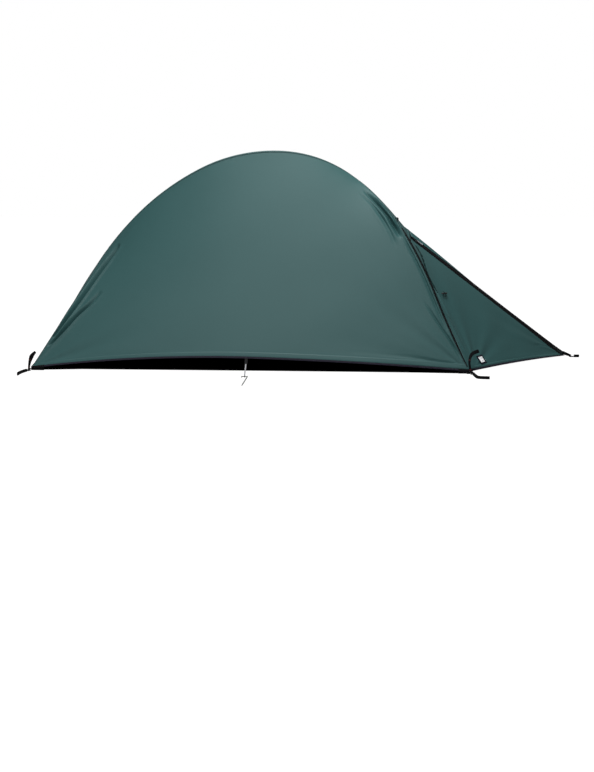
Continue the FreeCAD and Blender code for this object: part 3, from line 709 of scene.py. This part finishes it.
# Near side of the vestibule: a strip beside the leg, the door and a strip above the zip.
down = unit(front_line(0.4)[0] - seam(0.6)[0])
hinge_foot, hinge_head = front_line(HINGE_T)[0], seam(SEAM_HINGE)[0]
hinge = straight(hinge_foot, hinge_head)
strip_base = membrane(part_of(front_line, 0, HINGE_T), part_of(seam, 1, SEAM_HINGE), leg_side,
                      hinge, 13, 81)
ZX = unit(ZIP_HEAD - ZIP_FOOT)
ZN = V(0.52, -0.52, 0.68)
ZN = unit(ZN - ZX * (ZN @ ZX))
ZQ = np.cross(ZN, ZX)
ZIP_LEN = float(np.linalg.norm(ZIP_HEAD - ZIP_FOOT))
door_base = membrane(part_of(front_line, HINGE_T, DOOR_END), part_of(seam, SEAM_HINGE, SEAM_ZIP),
                     hinge, straight(ZIP_FOOT + ZQ * TAPE_EDGE + ZX * TAPE_START,
                                     ZIP_HEAD + ZQ * TAPE_EDGE), 81, 81)
hinge_out = unit(normals(strip_base)[-1].mean(axis=0) + normals(door_base)[0].mean(axis=0))

strip = refined(strip_base, spread((1.0, 26)), spread((1.0, 110)))
n = normals(strip)
out = np.broadcast_to(hinge_out, strip.shape)
move = fold(strip, n, strip_base, [(0.17, 0.99), (0.15, 0.6), (0.14, 0.3), (0.13, 0.06)],
            (4.5, 4.2), (20, 16), 0.04, 0.15, 0.1)
move += fold(strip, n, strip_base, [(0.78, 0.62), (0.62, 0.4), (0.45, 0.10)], (5, 5), (5, 6))
move *= edge_fade(strip, 2.5, (0, 2, 3))[..., None]
valley = fold(strip, out, strip_base, [(1, 0.80), (1, 0.6), (1, 0.40)], (7, 7), (14, 12), 0.3,
              0.5)
strip = strip + clear_of(strip, move, LEG_AXIS, 7.0) + valley
cloth("leg_strip", strip, "leg_strip_near")

DOOR_S, DOOR_T = spread((0.14, 30), (0.9, 66), (1.0, 14)), spread((0.05, 8), (1.0, 104))
door = refined(door_base, DOOR_S, DOOR_T)
n = normals(door)
out = np.broadcast_to(hinge_out, door.shape)
move = ripples(door, n, 8, 330, 1.6)
move += fan(door, n, hinge_foot, V(0.4, 0.5, 0.7), 12, 150, 1.6, 0.7)
move += fan(door, n, ZIP_FOOT, V(-0.8, -0.4, 0.3), 14, 150, 1.6, 0.2)
move += fold(door, n, door_base, [(0.80, 0.10), (0.90, 0.09), (0.985, 0.06)], (4, 3), (3, 5))
move *= edge_fade(door, 16)[..., None]
TUCK = [(0.66, 0.955), (0.51, 0.92), (0.26, 0.845), (0.077, 0.75), (0.034, 0.652), (0.030, 0.57)]
move += fold(door, n, door_base, TUCK, (8, 7), (3, 3), 0.12, 0.35,
             0.04) * edge_fade(door, 4)[..., None]
valley = fold(door, out, door_base, [(0, 0.80), (0, 0.6), (0, 0.40)], (7, 7), (14, 12), 0.3,
              0.5)
valley *= edge_fade(door, 10, (3,))[..., None]
rise = np.sum((move + valley) * n, axis=2)
by_toggle = np.exp(-(np.linalg.norm(door - TOGGLE_AT, axis=2) / 34) ** 4)
door = door + move + valley - n * (np.maximum(rise, 0) * by_toggle)[..., None]
door = door + down * (2.5 * DOOR_T ** 6)[None, :, None]
door_n = normals(door)
to_zip = unit(front_line(0.5)[0] - hinge_foot)
start, end = [tuple((hinge(0.5)[0] + to_zip * d - ORIGIN) * 0.001) for d in (0, 70)]


def hung(pieces):
    """Cloth of the door, with each piece's transform baked into its mesh."""
    for obj in pieces:
        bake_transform(obj)


hung([cloth("door_cloth", door, "door_panel", None)])

zip_side = straight(ZIP_FOOT - ZQ * TAPE_EDGE + ZX * TAPE_START, ZIP_HEAD - ZQ * TAPE_EDGE)
narrow = membrane(straight(zip_side(0)[0], front_line(1)[0]), part_of(seam, SEAM_STRIP, 0),
                  zip_side, middle_side, 9, 81)
narrow_n = normals(narrow)
cloth("zip_strip_cloth", narrow, "zip_strip")
base = membrane(front_line, part_of(seam, 1, 0), leg_side, middle_side, 81, 81)
far = refined(base, spread((0.1, 26), (1.0, 70)), spread((0.05, 8), (1.0, 100)))
n = normals(far)
move = ripples(far, n, 11, 330, 1.8) + fan(far, n, HEAD, V(0.4, 0.5, 0.7), 12, 150, 1.6)
move = move * edge_fade(far, 22)[..., None]
move += fold(far, n, base, [(0.016, 0.99), (0.014, 0.5), (0.012, 0.05)], (3.8, 3.6), (12, 10),
             0.04, 0.15, 0.1) * edge_fade(far, 2.5)[..., None]
move += fold(far, n, base, [(0.08, 0.95), (0.085, 0.75), (0.07, 0.5)], (7, 8), (10, 8))
far = far + move
far_n = normals(far)
cloth("vestibule_far", (far * FLIP)[::-1], "vestibule_panel_far")

# Footprint sheet, laid on the ground with slight puckers.
corners = [V(12, -488, 0), V(2190, -616, 0), V(12, 488, 0), V(2190, 616, 0)]
sheet = membrane(straight(corners[0], corners[1]), straight(corners[2], corners[3]),
                 straight(corners[0], corners[2]), straight(corners[1], corners[3]), 161, 97)
share = np.linspace(0, 1, 161)
sheet[..., 1] *= 1 - (0.085 * np.clip(share * 9, 0, 1) * (1 - share) ** 0.5
                      * np.clip((1 - share) * 9, 0, 1))[:, None]
bumps = ripples(sheet, np.broadcast_to(UP, sheet.shape), 21, 260, 1.2)[..., 2]
sheet[..., 2] = 1.0 + np.clip(bumps, -0.2, 3.0) * edge_fade(sheet, 60)
cloth("groundsheet", sheet, "footprint", material=GROUND,
      thick=0.0003)


# Strips that lie on the cloth: felled seams, the turned-up hem, zip facings.

def on_top(name, lines, ups, material, body, lift=0.9, slot="fly_cloth", sew=-2, mirror=False):
    """A closed strip over lines of cloth points, first line first, with a row of stitches."""
    lines, ups = np.array(lines), np.array(ups)
    rise = np.full(len(lines), lift)
    rise[0] = rise[-1] = lift * 0.45
    top = lines + ups * rise[:, None, None]
    low = lines - ups * 0.25
    rings = np.concatenate([top, low[::-1]]).transpose(1, 0, 2)
    return sewn_band(name, rings, top[sew] + ups[sew] * 0.1, ups[sew], material, body,
                     mirror)


def edge_strip(name, grid, grid_n, lines, material, body="shelter", **settings):
    """A strip along one edge of a panel, over its rows or columns of points nearest that edge."""
    return on_top(name, [grid[k] for k in lines], [grid_n[k] for k in lines], material, body,
                  **settings)


def rows(grid):
    return grid.transpose(1, 0, 2)


for mirror, side in ((False, "near"), (True, "far")):
    edge_strip("ridge_seam_" + side, rows(near), rows(near_n), (-1, -2), SEAM, mirror=mirror,
               sew=-1)
    edge_strip("leg_seam_" + side, near, near_n, (-1, -2, -3, -5) if FINE else (-1, -2), SEAM,
               mirror=mirror)
    edge_strip("foot_seam_" + side, near, near_n, (0, 1, 2, 4) if FINE else (0, 1), SEAM,
               mirror=mirror)
    edge_strip("side_hem_fold_" + side, rows(near), rows(near_n),
               (0, 1, 3, 4, 5) if FINE else (0, 1), CLOTH, mirror=mirror)
    edge_strip("hood_seam_" + side, hood, hood_n, (-1, -2, -4) if FINE else (-1, -2), SEAM,
               mirror=mirror)
edge_strip("foot_hem_fold", rows(foot), rows(foot_n), (0, 1, 2, 4) if FINE else (0, 1), CLOTH)
hem_rows = (0, 1, 2, 3) if FINE else (0, 1)
edge_strip("vestibule_hem_fold", rows(far), rows(far_n), hem_rows, CLOTH, mirror=True)
hung(edge_strip("door_hem_fold", rows(door), rows(door_n), hem_rows, CLOTH, None))


def painted_fold_shade_strip(name, panel, panel_n, flat, way, base, width, body):
    """Narrow dark strip, stitched along the bottom of a tuck on the pressed-in cloth: painted shade
    standing in for the shadow in the fold.
    """
    way = smooth_path([(a, b, 0) for a, b in way], 60)
    line = np.array([refined(base, [a], [b])[0, 0] for a, b, _ in way])
    panel_n = panel_n.reshape(-1, 3)
    shift, points = (panel - flat).reshape(-1, 3), flat.reshape(-1, 3)
    ups, lines = [], []
    middle = [panel_n[np.argmin(np.linalg.norm(points - p, axis=1))] for p in line]
    side = unit(np.cross(smooth_path(middle, 60), np.gradient(line, axis=0)))
    half = col(np.interp(np.linspace(0, 1, 60), (0, 0.35, 0.8, 1), width))
    for k in (-1, -0.5, 0, 0.5, 1):
        row, up = [], []
        for p in line + side * half * k:
            d = np.linalg.norm(points - p, axis=1)
            pick = np.argsort(d)[:4]
            share = 1 / (d[pick] + 0.05)
            share = col(share / share.sum())
            row.append(p + (shift[pick] * share).sum(axis=0))
            up.append((panel_n[pick] * share).sum(axis=0))
        lines.append(np.array(row))
        ups.append(unit(np.array(up)))
    return on_top(name, lines, ups, FOLD_SHADE_PAINT, body, 1.5)


# The strip along the door's fold is painted shade, not a real tape.
hung(painted_fold_shade_strip("door_fold_painted_shade", door, door_n, refined(door_base, DOOR_S, DOOR_T), TUCK, door_base,
               (9.0, 11.0, 7.0, 1.0), None))


def leg_binding_and_shade(name, mirror):
    """Dark tape folded over the leg seam, from the hood seam down to the hem; its near-black colour
    also paints the shadow line along the pole.
    """
    pick = np.linspace(0.012, 1 - HOOD_LEG_T + 0.02, 110)
    p = cubic(near[-1], np.interp(pick, side_t, np.linspace(0, 1, len(side_t))), 0)
    ahead = unit(np.gradient(p, axis=0))
    inner = unit(np.stack([np.interp(pick, side_t, (near[-5] - near[-1])[:, k])
                           for k in range(3)], 1))
    up_a = unit(np.cross(inner, ahead))
    up_a *= np.sign(up_a[:, 2:3])
    outer = unit(np.cross(ahead, UP))
    outer *= np.sign(outer[:, :1])
    up_b = unit(np.cross(outer, ahead))
    up_b *= np.sign(up_b[:, 2:3])
    both_up = unit(up_a + up_b)
    w = (2.0 + 3.4 * np.clip(np.minimum(pick * 9, (0.68 - pick) * 12), 0, 1))[:, None]
    rings = np.stack([p + inner * w + up_a * 0.9, p + inner * w * 0.8 + up_a * 2.0,
                      p + both_up * 2.3, p + outer * w * 0.8 + up_b * 2.0,
                      p + outer * w + up_b * 0.9, p - both_up * 0.3], 1)
    sewn_band(name, rings, p + inner * w * 0.6 + up_a * 2.1, up_a, DARK_TAPE_AND_SHADE, "shelter",
              mirror)


# The leg binding is partly painted shade: its dark band stands in for the shadow line along the leg
# pole.
leg_binding_and_shade("leg_binding_near", False)
leg_binding_and_shade("leg_binding_far", True)


# Hem bindings: tape folded round the hem, with a line of stitches.

def hem_tape(name, hem, line, nodes=(), body="shelter", mirror=False, count=160):
    t = np.linspace(0, 1, count if FINE else count // 3)
    low, high = hem(t), line(t)
    up = unit(high - low)
    ahead = unit(np.gradient(low, axis=0))
    out = unit(np.cross(ahead, up))
    out *= 1 if out[:, 2].mean() > 0 else -1
    shape = [(10.4, 0.5), (9.0, 1.0), (5.0, 1.1), (1.4, 1.1), (-0.4, 0.7), (-0.9, 0.0),
             (-0.4, -0.9), (1.4, -1.4), (5.0, -1.4), (9.0, -1.3), (10.4, -0.8)]
    rings = np.array([[p + u * a + o * b for a, b in shape] for p, u, o in zip(low, up, out)])
    return sewn_band(name, rings, low + up * 8.0 + out * 1.05, out, HEM, body, mirror,
                     nodes)


def span(t0, t1, hem, line):
    return part_of(hem, t0, t1), part_of(line, t0, t1)


hem_tape("hem_near", *span(0.003, 0.997, side_hem, side_line), ["hem_binding_near"])
hem_tape("hem_far", *span(0.003, 0.997, side_hem, side_line), ["hem_binding_far"], mirror=True)
hem_tape("hem_foot", *span(0.003, 0.997, foot_hem, foot_line), ["hem_binding_foot"])
hem_tape("hem_vest_far", *span(0.004, 0.99, front_hem, front_line), ["hem_binding_vestibule"],
         mirror=True, count=80)
hem_tape("hem_leg_strip", *span(0.004, HINGE_T, front_hem, front_line), count=24)
door_line = joined_at(part_of(front_line, HINGE_T, DOOR_END), end=door_base[-1, 0])
hung(hem_tape("hem_door", part_of(front_hem, HINGE_T, DOOR_END), door_line,
              ["hem_binding_door"], None, count=80))


# Zip: woven tapes and a coil of small teeth on each side, with dark facings beside them that also
# carry painted shade from the storm flap.

def zip_tape(name, s0, s1, side, body, node):
    s = np.linspace(s0, s1, 60)
    cross = [(1.0, 0.3), (11.9, 0.4), (11.9, -0.4), (1.0, -0.3)]
    rings = [[ZIP_FOOT + ZX * v + ZQ * (side * a) + ZN * b for a, b in cross] for v in s]
    sweep(name, rings, DARK_TAPE_AND_SHADE, body, [node])
    verts, faces = [], []
    pitch = 2.6
    for k in range(int((s1 - s0) / pitch)):
        base = len(verts)
        x = s0 + pitch * (k + (0.5 if side > 0 else 0.0))
        for a in (-0.9, 0.9):
            for q, h in ((0.7, -0.7), (0.7, 0.7), (2.2, 1.5), (3.8, 1.0), (3.8, -1.0),
                         (2.2, -1.5)):
                slim = 0.55 if q < 1 else 1.0
                verts.append(ZIP_FOOT + ZX * (x + a * slim) + ZQ * (side * q) + ZN * h)
        faces += [[base + i for i in range(6)], [base + 11 - i for i in range(6)]]
        faces += [[base + i, base + 6 + i, base + 6 + (i + 1) % 6, base + (i + 1) % 6]
                  for i in range(6)]
    obj = new_mesh(name + "_coil", verts, faces, COIL, smooth=False,
                   uvs=np.zeros((len(verts), 2)))
    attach(obj, body)


zip_tape("zip_fixed", 6, ZIP_LEN - 4, -1, "shelter", "zipper_tape_fixed")
zip_tape("zip_door", 82, ZIP_LEN - 62, 1, "door", "zipper_tape_door")


def dark_facing_and_shade(name, grid, up, edge, wide, t0, t1, body):
    """Dark strip on a panel beside the zip, as wide as a function of the height share: a dark
    facing, widened to paint the shadow under the storm flap.
    """
    count = 70
    ts = np.linspace(t0, t1, count)
    rows = cubic(grid, ts, 1)
    ups = unit(cubic(up, ts, 1))
    if edge:
        rows, ups = rows[::-1], ups[::-1]
    lines, tops = [], []
    for share in np.linspace(0, 1, 7):
        line, top = [], []
        for j in range(count):
            run = np.concatenate([[0], np.cumsum(np.linalg.norm(np.diff(rows[:, j], axis=0),
                                                                axis=1))])
            at = min(share * wide(ts[j]), run[-1] - 0.5)
            line.append([np.interp(at, run, rows[:, j, k]) for k in range(3)])
            top.append([np.interp(at, run, ups[:, j, k]) for k in range(3)])
        lines.append(line)
        tops.append(top)
    return on_top(name, lines, unit(np.array(tops)), DARK_TAPE_AND_SHADE, body, 1.1, "zip_coil")


# These facings are partly painted shade: their black width stands in for the shadow beneath the
# storm flap.
dark_facing_and_shade("zip_facing_shade_door", door, door_n, True, lambda t: 5 + 17 * (1 - t) ** 0.7, 0.005, 0.985,
       "door")
dark_facing_and_shade("zip_facing_shade_fixed", narrow, narrow_n, False, lambda t: 3 + 22 * (1 - t) ** 1.5, 0.02, 0.97,
       "shelter")


# Corner webbing, stake loops and side pull-outs.

def both(make, name, node, body=None):
    for mirror, side in ((False, "near"), (True, "far")):
        make(name + "_" + side, [node + "_" + side], mirror,
             "shelter" if body is None else body + "_" + side)


def ribbon(name, path, across, width, thick, body, nodes=()):
    """Woven band whose width direction and width change along the path."""
    ahead = unit(np.gradient(path, axis=0))
    across = unit(across - ahead * np.sum(across * ahead, axis=1)[:, None])
    n = np.cross(ahead, across)
    h = thick / 2
    shape = [(-1, 0), (-0.94, h * 0.8), (-0.85, h), (0.85, h), (0.94, h * 0.8), (1, 0),
             (0.94, -h * 0.8), (0.85, -h), (-0.85, -h), (-0.94, -h * 0.8)]
    rings = [[p + c * a * w / 2 + m * b for a, b in shape]
             for p, c, m, w in zip(path, across, n, width)]
    return sweep(name, rings, WEBBING, body, nodes)


def tail(points, turns, widths):
    """Loose strap end that stands up and twists; turns are degrees from the Y direction."""
    path = smooth_path(points, 50)
    t = np.linspace(0, 1, 50)
    marks = np.linspace(0, 1, len(turns))
    angle = np.radians(np.interp(t, marks, turns))[:, None]
    across = (np.cos(angle) * V(0, 1, 0)
              + np.sin(angle) * unit(np.cross(np.gradient(path, axis=0), V(0, 1, 0))))
    width = np.interp(t, np.linspace(0, 1, len(widths)), widths)

    def make(name, nodes, mirror, body):
        k = FLIP if mirror else 1
        ribbon(name, path * k, across * k, width, WEB_THICK, body, nodes)
        ahead = unit(np.gradient(path, axis=0))
        side = unit(across - ahead * np.sum(across * ahead, axis=1)[:, None])
        up = np.cross(ahead, side)
        for tack, i in (("base", 6), ("mid", 24)):
            marks = [(a, b, c) for a in (-3.6, 0, 3.6) for b in (-1.2, 1.2) for c in (-1, 1)]
            spots = [path[i] + side[i] * a + ahead[i] * b + up[i] * c * 0.72
                     for a, b, c in marks]
            ups = [up[i] * c for _, _, c in marks]
            threads(name + "_tack_" + tack, np.array(spots) * k, [side[i] * k] * len(spots),
                    np.array(ups) * k, 3.4, 0.8, TACK, body)
    return make


both(tail([V(2206, -650.5, 8.4), V(2196, -650.5, 45), V(2197, -650.5, 82),
           V(2211, -650.5, 106), V(2240, -650.5, 118)], (62, 58, 45, 66, 80),
          (11, 12, 14, 18, 18)), "tail_front", "strap_tail_front")
both(tail([V(-6, -529.5, 8.4), V(0, -529.5, 45), V(11, -529.5, 76), V(31, -529.5, 99)],
          (60, 60, 74, 64), (12, 17, 24, 14)), "tail_foot", "strap_tail_foot")


def stake(path):
    """Webbing loop laid flat on the ground, doubled back at its end."""
    middle = smooth_path(path, 24)
    ahead = unit(np.gradient(middle, axis=0))
    wide = np.cross(UP, ahead) * LOOP_GAP / 2
    wide[0] *= 0.7
    wide[-1] *= 0.7
    turn = middle[-1] + ahead[-1] * LOOP_GAP * 0.5
    track = smooth_path(np.vstack([middle + wide, [turn], (middle - wide)[::-1]]), 90) + UP * 7.5

    def make(name, nodes, mirror, body):
        webbing(name, track * FLIP if mirror else track, UP, 14.4, WEB_THICK, body, nodes)
    return make


front_out, foot_out = unit(V(0.04, -1, 0)), unit(V(-0.24, -1, 0))
front_at, foot_at, tip_at = V(2212, -657, 0), V(-10, -532, 0), V(2837, 0, 0)
both(stake([front_at + front_out * 13, V(2214, -740, 0), V(2222, -790, 0), V(2270, -806, 0)]),
     "stake_front", "stake_loop_front", "loop_front")
both(stake([foot_at + foot_out * 13, V(-26, -600, 0), V(-30, -640, 0), V(-30, -680, 0)]),
     "stake_foot", "stake_loop_foot", "loop_foot")
stake([tip_at + V(13, 0, 0), V(2857, 0, 0), V(2866, 0, 0), V(2875, 0, 0)])(
    "stake_tip", ["stake_loop_tip"], False, "loop_tip")


def tab_path(start, at, out):
    near_bar = at - out * 10 + UP * 6.6
    top = at - out * ((at - start) @ out) + UP * start[2]
    return smooth_path([top, (top + near_bar) / 2 + UP, near_bar], 14)


tabs = [(HEAD + V(0, 4, -2), front_at, front_out), (FOOT + V(0, 4, -2), foot_at, foot_out)]
for k, (p, at, out) in enumerate(tabs):
    across = np.cross(UP, out)
    path = tab_path(p, at, out)
    webbing("corner_tab_%d_near" % k, path, across, WEB_WIDE, WEB_THICK, "shelter",
            ["corner_tabs"])
    webbing("corner_tab_%d_far" % k, path * FLIP, across * FLIP, WEB_WIDE, WEB_THICK, "shelter")
path = tab_path(TIP + V(-4, 0, -2), tip_at, V(1, 0, 0))
webbing("corner_tab_tip", path, V(0, 1, 0), WEB_WIDE, WEB_THICK, "shelter")

# Webbing skirts that close each hem corner down to the ground.

def skirt(name, line, taper=0):
    top = np.array(line)
    low = top * V(1, 1, 0) + UP * 1.2
    low = low + (top - low) * col(np.linspace(0, 1, len(top)) ** 1.5 * taper)
    out = unit(np.cross(np.gradient(top, axis=0), UP))
    rings = np.stack([top + out * 0.5, low + out * 0.5, low - out * 0.5, top - out * 0.5], 1)
    for side, k in (("near", 1), ("far", FLIP)):
        sweep(name + "_" + side, rings * k, WEBBING, "shelter")


skirt("skirt_foot_side", side_hem(np.linspace(0.0005, 0.030, 14)) + UP * 9)
skirt("skirt_foot_end", foot_hem(np.linspace(0.002, 0.07, 14)) + UP * 7, 0.8)
skirt("skirt_front_side", side_hem(np.linspace(0.975, 0.9998, 14)) + UP * 9)
skirt("skirt_front_end", front_hem(np.linspace(0.0002, 0.045, 14)) + UP * 8, 0.92)
gusset = smooth_path([TIP + V(-34, -6, 14), TIP + V(-8, -3, 5), tip_at + V(-2, 0, 8)], 20)
ribbon("tip_gusset", gusset, np.broadcast_to(UP, gusset.shape), np.linspace(20, 11, 20), 2.0,
       "shelter")

# Side pull-outs: a dark webbing loop near the hem, then narrow grey tape round the peg.
PEG, ROUND_PEG = V(1091, -790, 13), 5.4
mid = side_hem(HEM_MID)[0]
whole = smooth_path([V(1091, mid[1] - 3, mid[2] + 1), V(1091, mid[1] - 90, 46),
                     PEG + V(0, 0.35, 0.94) * ROUND_PEG], 60)
turn = [PEG + V(0, math.cos(a), math.sin(a)) * ROUND_PEG for a in np.linspace(1.3, 7.4, 30)]
cut = int(60 * 0.34)
light = np.vstack([whole[cut - 3:], turn])
for mirror, side in ((False, "near"), (True, "far")):
    k = FLIP if mirror else 1
    webbing("side_loop_" + side + "_web", whole[:cut] * k, V(1, 0, 0), WEB_WIDE, WEB_THICK,
            "shelter", ["side_loop_" + side])
    webbing("side_loop_" + side + "_tape", light * k, V(1, 0, 0), 6.5, 1.2, "shelter",
            material=STRAP)


# Pole hardware: webbing tabs under the pole tips and cloth wraps round the tubes.

def pole_end(chain, s):
    p = pole(*chain, [s - 1, s], 0.0)
    return p[1], unit(p[1] - p[0])


def seat(name, point, far_end, nodes=(), mirror=False):
    """Flat webbing tab on the ground under a pole tip, with a round hole."""
    out = unit(far_end - point)
    out[2] = 0
    out = unit(out)
    length = float(np.linalg.norm((far_end - point)[:2]))
    across = np.cross(UP, out)
    around = np.linspace(0, 2 * math.pi, 33)[:-1]
    under = point * V(1, 1, 0)
    hole = [under + out * 6.5 * math.cos(a) + across * 6.5 * math.sin(a) for a in around]
    edge = []
    for a in around:
        c, s = math.cos(a), math.sin(a)
        reach = min((length if c > 0 else 14.0) / max(abs(c), 1e-6), 10.5 / max(abs(s), 1e-6))
        edge.append(under + (out * c + across * s) * reach)
    rings = np.array([[h + UP * 1.4, h + UP * 2.6, e + UP * 2.6, e + UP * 1.4]
                      for h, e in zip(hole, edge)])
    rings = np.concatenate([rings, rings[:1]])
    if mirror:
        rings = rings * FLIP
    return sweep(name, rings, WEBBING, "shelter", nodes, caps=False)


leg_p, leg_d = pole_end(LEG, LEG_LEN)
leg_seat = leg_p + leg_d * 9
spine_p, spine_d = pole_end(SPINE, 5 * SPINE[3])
spine_seat = spine_p + spine_d * 9
seat("pole_seat_near", leg_seat, leg_seat + V(4, -22, 0), ["pole_seats"])
seat("pole_seat_far", leg_seat, leg_seat + V(4, -22, 0), mirror=True)
seat("pole_seat_foot", spine_seat, spine_seat - V(75, 0, 0))


def wrap(name, chain, s, nodes=(), mirror=False):
    """Cloth wrap round a tube, closed with a short overlap."""
    line = pole(*chain, np.linspace(s, s + 25, 9), 0.0)
    ahead = unit(np.gradient(line, axis=0))
    side = np.cross(ahead, UP)
    up = np.cross(unit(side), ahead)
    rings = []
    for p, a, b in zip(line, unit(side), up):
        outer = [p + (a * math.cos(q) + b * math.sin(q)) * (5.4 - 0.3 * (k % 2))
                 for k, q in enumerate(np.linspace(0, 2 * math.pi, 25)[:-1])]
        rings.append(outer)
    rings = np.array(rings)
    sweep(name, rings * FLIP if mirror else rings, WEBBING, "shelter", nodes)


WRAPS = [(SPINE, k * SPINE[3] + s) for k, s in ((0, 300), (1, 240), (2, 240))]
for k, (chain, s) in enumerate(WRAPS):
    wrap("pole_wrap_spine_%d" % k, chain, s, ["pole_wraps"] if k == 0 else ())
for k, s in ((0, 250), (1, 200)):
    for mirror in (False, True):
        wrap("pole_wrap_leg_%d_%s" % (k, "far" if mirror else "near"), LEG, k * LEG[3] + s, (),
             mirror)

# Cord loop that holds the toggle; it turns with it.
i, j = np.unravel_index(np.linalg.norm(door_base - TOGGLE_AT, axis=2).argmin(),
                        door_base.shape[:2])
out = normals(door_base)[i, j]
way = V(1, 0.92, 0.16)
way = unit(way - out * (way @ out))
side = np.cross(out, way)
arch = np.array([door_base[i, j] + side * 15 * math.cos(a) + out * (3 + 11.5 * math.sin(a))
                 for a in np.linspace(0.1, math.pi - 0.1, 24)])
webbing("toggle_cord", arch, np.broadcast_to(way, arch.shape)[0], 5.0, 1.6, "toggle")

# Tieback loop on the leg seam.
TIEBACK = 0.295
top = leg_edge(TIEBACK)[0]
way = unit(leg_edge(TIEBACK + 0.015)[0] - leg_edge(TIEBACK - 0.015)[0])
out = V(0.25, -0.55, 0.80)
out = unit(out - way * (out @ way))
bend = np.array([top + way * 9 * math.cos(a) + out * (3 + 13 * math.sin(a))
                 for a in np.linspace(0, math.pi, 30)])
webbing("tieback", bend, np.cross(way, out), 9.0, 1.5, "shelter", ["tieback_loop"])


# Label: blank woven patch with a dark border, laid on the door near the front corner.

def patch_on(name, along, w, h, lift, material, nodes=()):
    """Flat rectangle on the plane that fits the door cloth around the label."""
    cloud = door.reshape(-1, 3)
    cloud = cloud[np.linalg.norm(cloud - LABEL_AT, axis=1) < 34]
    spot = cloud.mean(axis=0)
    n = np.linalg.svd(cloud - spot)[2][2]
    n = n if n[2] > 0 else -n
    along = unit(along - n * (along @ n))
    across = np.cross(n, along)
    s, t = np.meshgrid(np.linspace(-1, 1, 13), np.linspace(-1, 1, 13), indexing="ij")
    flat = (LABEL_AT - n * ((LABEL_AT - spot) @ n) + along * (s * w)[..., None]
            + across * (t * h)[..., None])
    over = np.percentile((cloud - spot) @ n, 92)
    grid = flat + n * (over + lift + 0.8 * s ** 2 * np.maximum(t, 0))[..., None]
    obj = new_mesh(name, grid.reshape(-1, 3), grid_faces(13, 13), material, uvs=grid_uvs(grid))
    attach(obj, "door")
    if nodes:
        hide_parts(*nodes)


along = V(0.70, 0.70, 0.12)
patch_on("label_border", along, 26, 25, 0.9, BORDER, ["label_patch"])
patch_on("label_face", along, 17, 16, 1.6, LABEL)

# Floor, light and camera. The white surroundings light the shelter less than they show.

AMBIENT = 0.26
FLOOR_HALF = 30000
EYE, TILT, LENS = V(1344.1, -6925, 925.1), 8.8936, 59.863


def seen(tree, socket):
    """Full strength where the camera sees the surroundings, AMBIENT where they light things."""
    path = add(tree, "ShaderNodeLightPath")
    gain = add(tree, "ShaderNodeMath", operation="MULTIPLY_ADD")
    gain.inputs[1].default_value = 1 - AMBIENT
    gain.inputs[2].default_value = AMBIENT
    link(tree, path.outputs["Is Camera Ray"], gain.inputs[0])
    link(tree, gain.outputs[0], socket)


mat, tree, bsdf = shader("floor", (0.08, 0.08, 0.08), 1.0, Specular_IOR_Level=0.0)
bsdf.inputs["Emission Color"].default_value = (1, 1, 1, 1)
seen(tree, bsdf.inputs["Emission Strength"])
floor = new_mesh("floor", [V(x * FLOOR_HALF, y * FLOOR_HALF, -0.2)
                           for x, y in ((-1, -1), (1, -1), (1, 1), (-1, 1))], [[0, 1, 2, 3]],
                 mat, uvs=np.zeros((4, 2)))

world = bpy.data.worlds.new("studio")
bpy.context.scene.world = world
world.use_nodes = True
world.node_tree.nodes["Background"].inputs["Color"].default_value = (1, 1, 1, 1)
seen(world.node_tree, world.node_tree.nodes["Background"].inputs["Strength"])


def area_light(name, at, to, w, h, power):
    data = bpy.data.lights.new(name, "AREA")
    data.shape = "RECTANGLE"
    data.size, data.size_y, data.energy = w, h, power
    obj = bpy.data.objects.new(name, data)
    obj.location = at
    obj.rotation_euler = (Vector(to) - Vector(at)).to_track_quat("-Z", "Y").to_euler()
    bpy.context.scene.collection.objects.link(obj)


area_light("key", (-0.25, -0.5, 3.5), (-0.25, -0.2, 0.0), 1.5, 4.0, 243)
area_light("front", (-0.08, -2.6, 2.0), (-0.05, -0.4, 0.4), 1.0, 0.5, 29)

camera = bpy.data.cameras.new("camera")
camera.lens = LENS
camera.sensor_width = 36.0
eye = bpy.data.objects.new("camera", camera)
eye.location = ((EYE - ORIGIN) * 0.001).tolist()
eye.rotation_euler = (math.radians(90 - TILT), 0, 0)
bpy.context.scene.collection.objects.link(eye)
bpy.context.scene.camera = eye
bpy.context.scene.view_settings.view_transform = "Standard"
